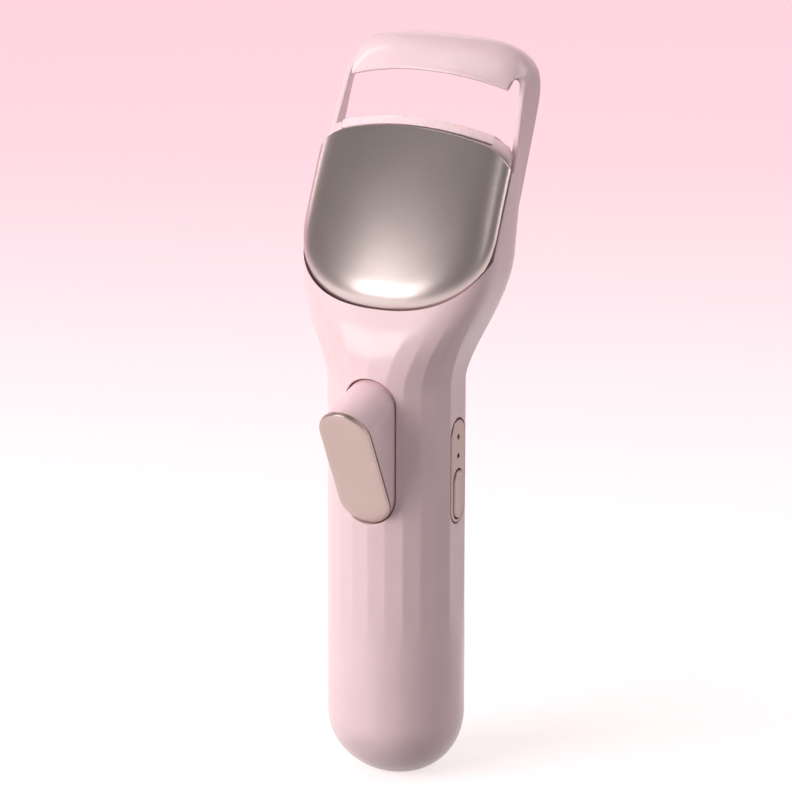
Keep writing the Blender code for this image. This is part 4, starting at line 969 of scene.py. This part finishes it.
def softLight(name, azimuth, height, distance, size, power, colour=(1, 1, 1)):
    # an area light aimed at the middle of the object, placed by angles from the -Y side
    lamp = bpy.data.lights.new(name, "AREA")
    lamp.shape = "RECTANGLE"
    lamp.size, lamp.size_y = size
    lamp.energy = power
    lamp.color = colour
    made = bpy.data.objects.new(name, lamp)
    a, e = math.radians(azimuth), math.radians(height)
    back = Vector((math.sin(a) * math.cos(e), -math.cos(a) * math.cos(e), math.sin(e)))
    made.location = Vector((0, 0, 0.07)) + back * distance
    made.rotation_euler = (-back).to_track_quat("-Z", "Y").to_euler()
    bpy.context.scene.collection.objects.link(made)
    return made


def cameraAt(azimuth, elevation, distance, roll, aimAcross, aimUp, pointsPerMm):
    # pointsPerMm holds at the distance of the aim, in a picture 800 points wide
    a, e = math.radians(azimuth), math.radians(elevation)
    back = Vector((math.sin(a) * math.cos(e), -math.cos(a) * math.cos(e), math.sin(e)))
    across = Vector((math.cos(a), math.sin(a), 0.0))
    up = back.cross(across)
    aim = Vector((0, 0, 0.0669)) + (across * aimAcross + up * aimUp) * mm
    data = bpy.data.cameras.new("camera")
    data.sensor_width = 36.0
    data.lens = 36.0 * pointsPerMm * distance / 800.0
    data.clip_start, data.clip_end = 0.02, 20.0
    made = bpy.data.objects.new("camera", data)
    made.location = aim + back * distance * mm
    turned = (-back).to_track_quat("-Z", "Y").to_matrix()
    made.rotation_euler = (turned @ Matrix.Rotation(math.radians(roll), 3, "Z")).to_euler()
    bpy.context.scene.collection.objects.link(made)
    bpy.context.scene.camera = made


# name: azimuth, height, distance (m), size (m), power (W), colour, hidden from
lights = {
    "keyLight": (-38.0, 21.0, 0.75, (0.6, 0.5), 5.7, (1.0, 0.98, 0.97), "visible_glossy"),
    "keyCard": (-38.0, 21.0, 0.75, (0.6, 0.5), 1.3, (1.0, 0.98, 0.98), None),
    "shieldCard": (-19.0, 17.0, 0.6, (0.36, 0.22), 1.15, (1.0, 0.97, 0.96), "visible_diffuse"),
    "rimLight": (122.0, 24.0, 0.7, (0.18, 0.6), 1.15, (1.0, 0.95, 0.97), None),
    "leftStrip": (-104.0, 28.0, 0.6, (0.05, 0.5), 0.36, (1.0, 1.0, 1.0), None),
    "rightStrip": (58.0, 34.0, 0.6, (0.02, 0.4), 0.13, (1.0, 1.0, 1.0), None),
    "topLight": (-20.0, 80.0, 0.8, (0.5, 0.3), 0.9, (1.0, 1.0, 1.0), None),
    "backLight": (-168.0, 26.0, 0.8, (0.6, 0.5), 0.5, (1.0, 0.97, 0.97), None),
}
view = {
    "azimuth": 24.76, "elevation": 16.79, "distance": 850.0, "roll": 0.14,
    "aimAcross": -0.152, "aimUp": 0.201, "pointsPerMm": 5.779,
}

backdrop()
for name, (*placing, hiddenFrom) in lights.items():
    lamp = softLight(name, *placing)
    if hiddenFrom:
        setattr(lamp, hiddenFrom, False)  # the key's gloss comes from the two cards
cameraAt(**view)
world = bpy.data.worlds.new("room")
world.use_nodes = True
air = world.node_tree.nodes["Background"]
air.inputs["Color"].default_value = (1.0, 0.93, 0.94, 1.0)
air.inputs["Strength"].default_value = 0.2
bpy.context.scene.world = world
bpy.context.scene.view_settings.view_transform = "Standard"
print("stage, lights and camera made")
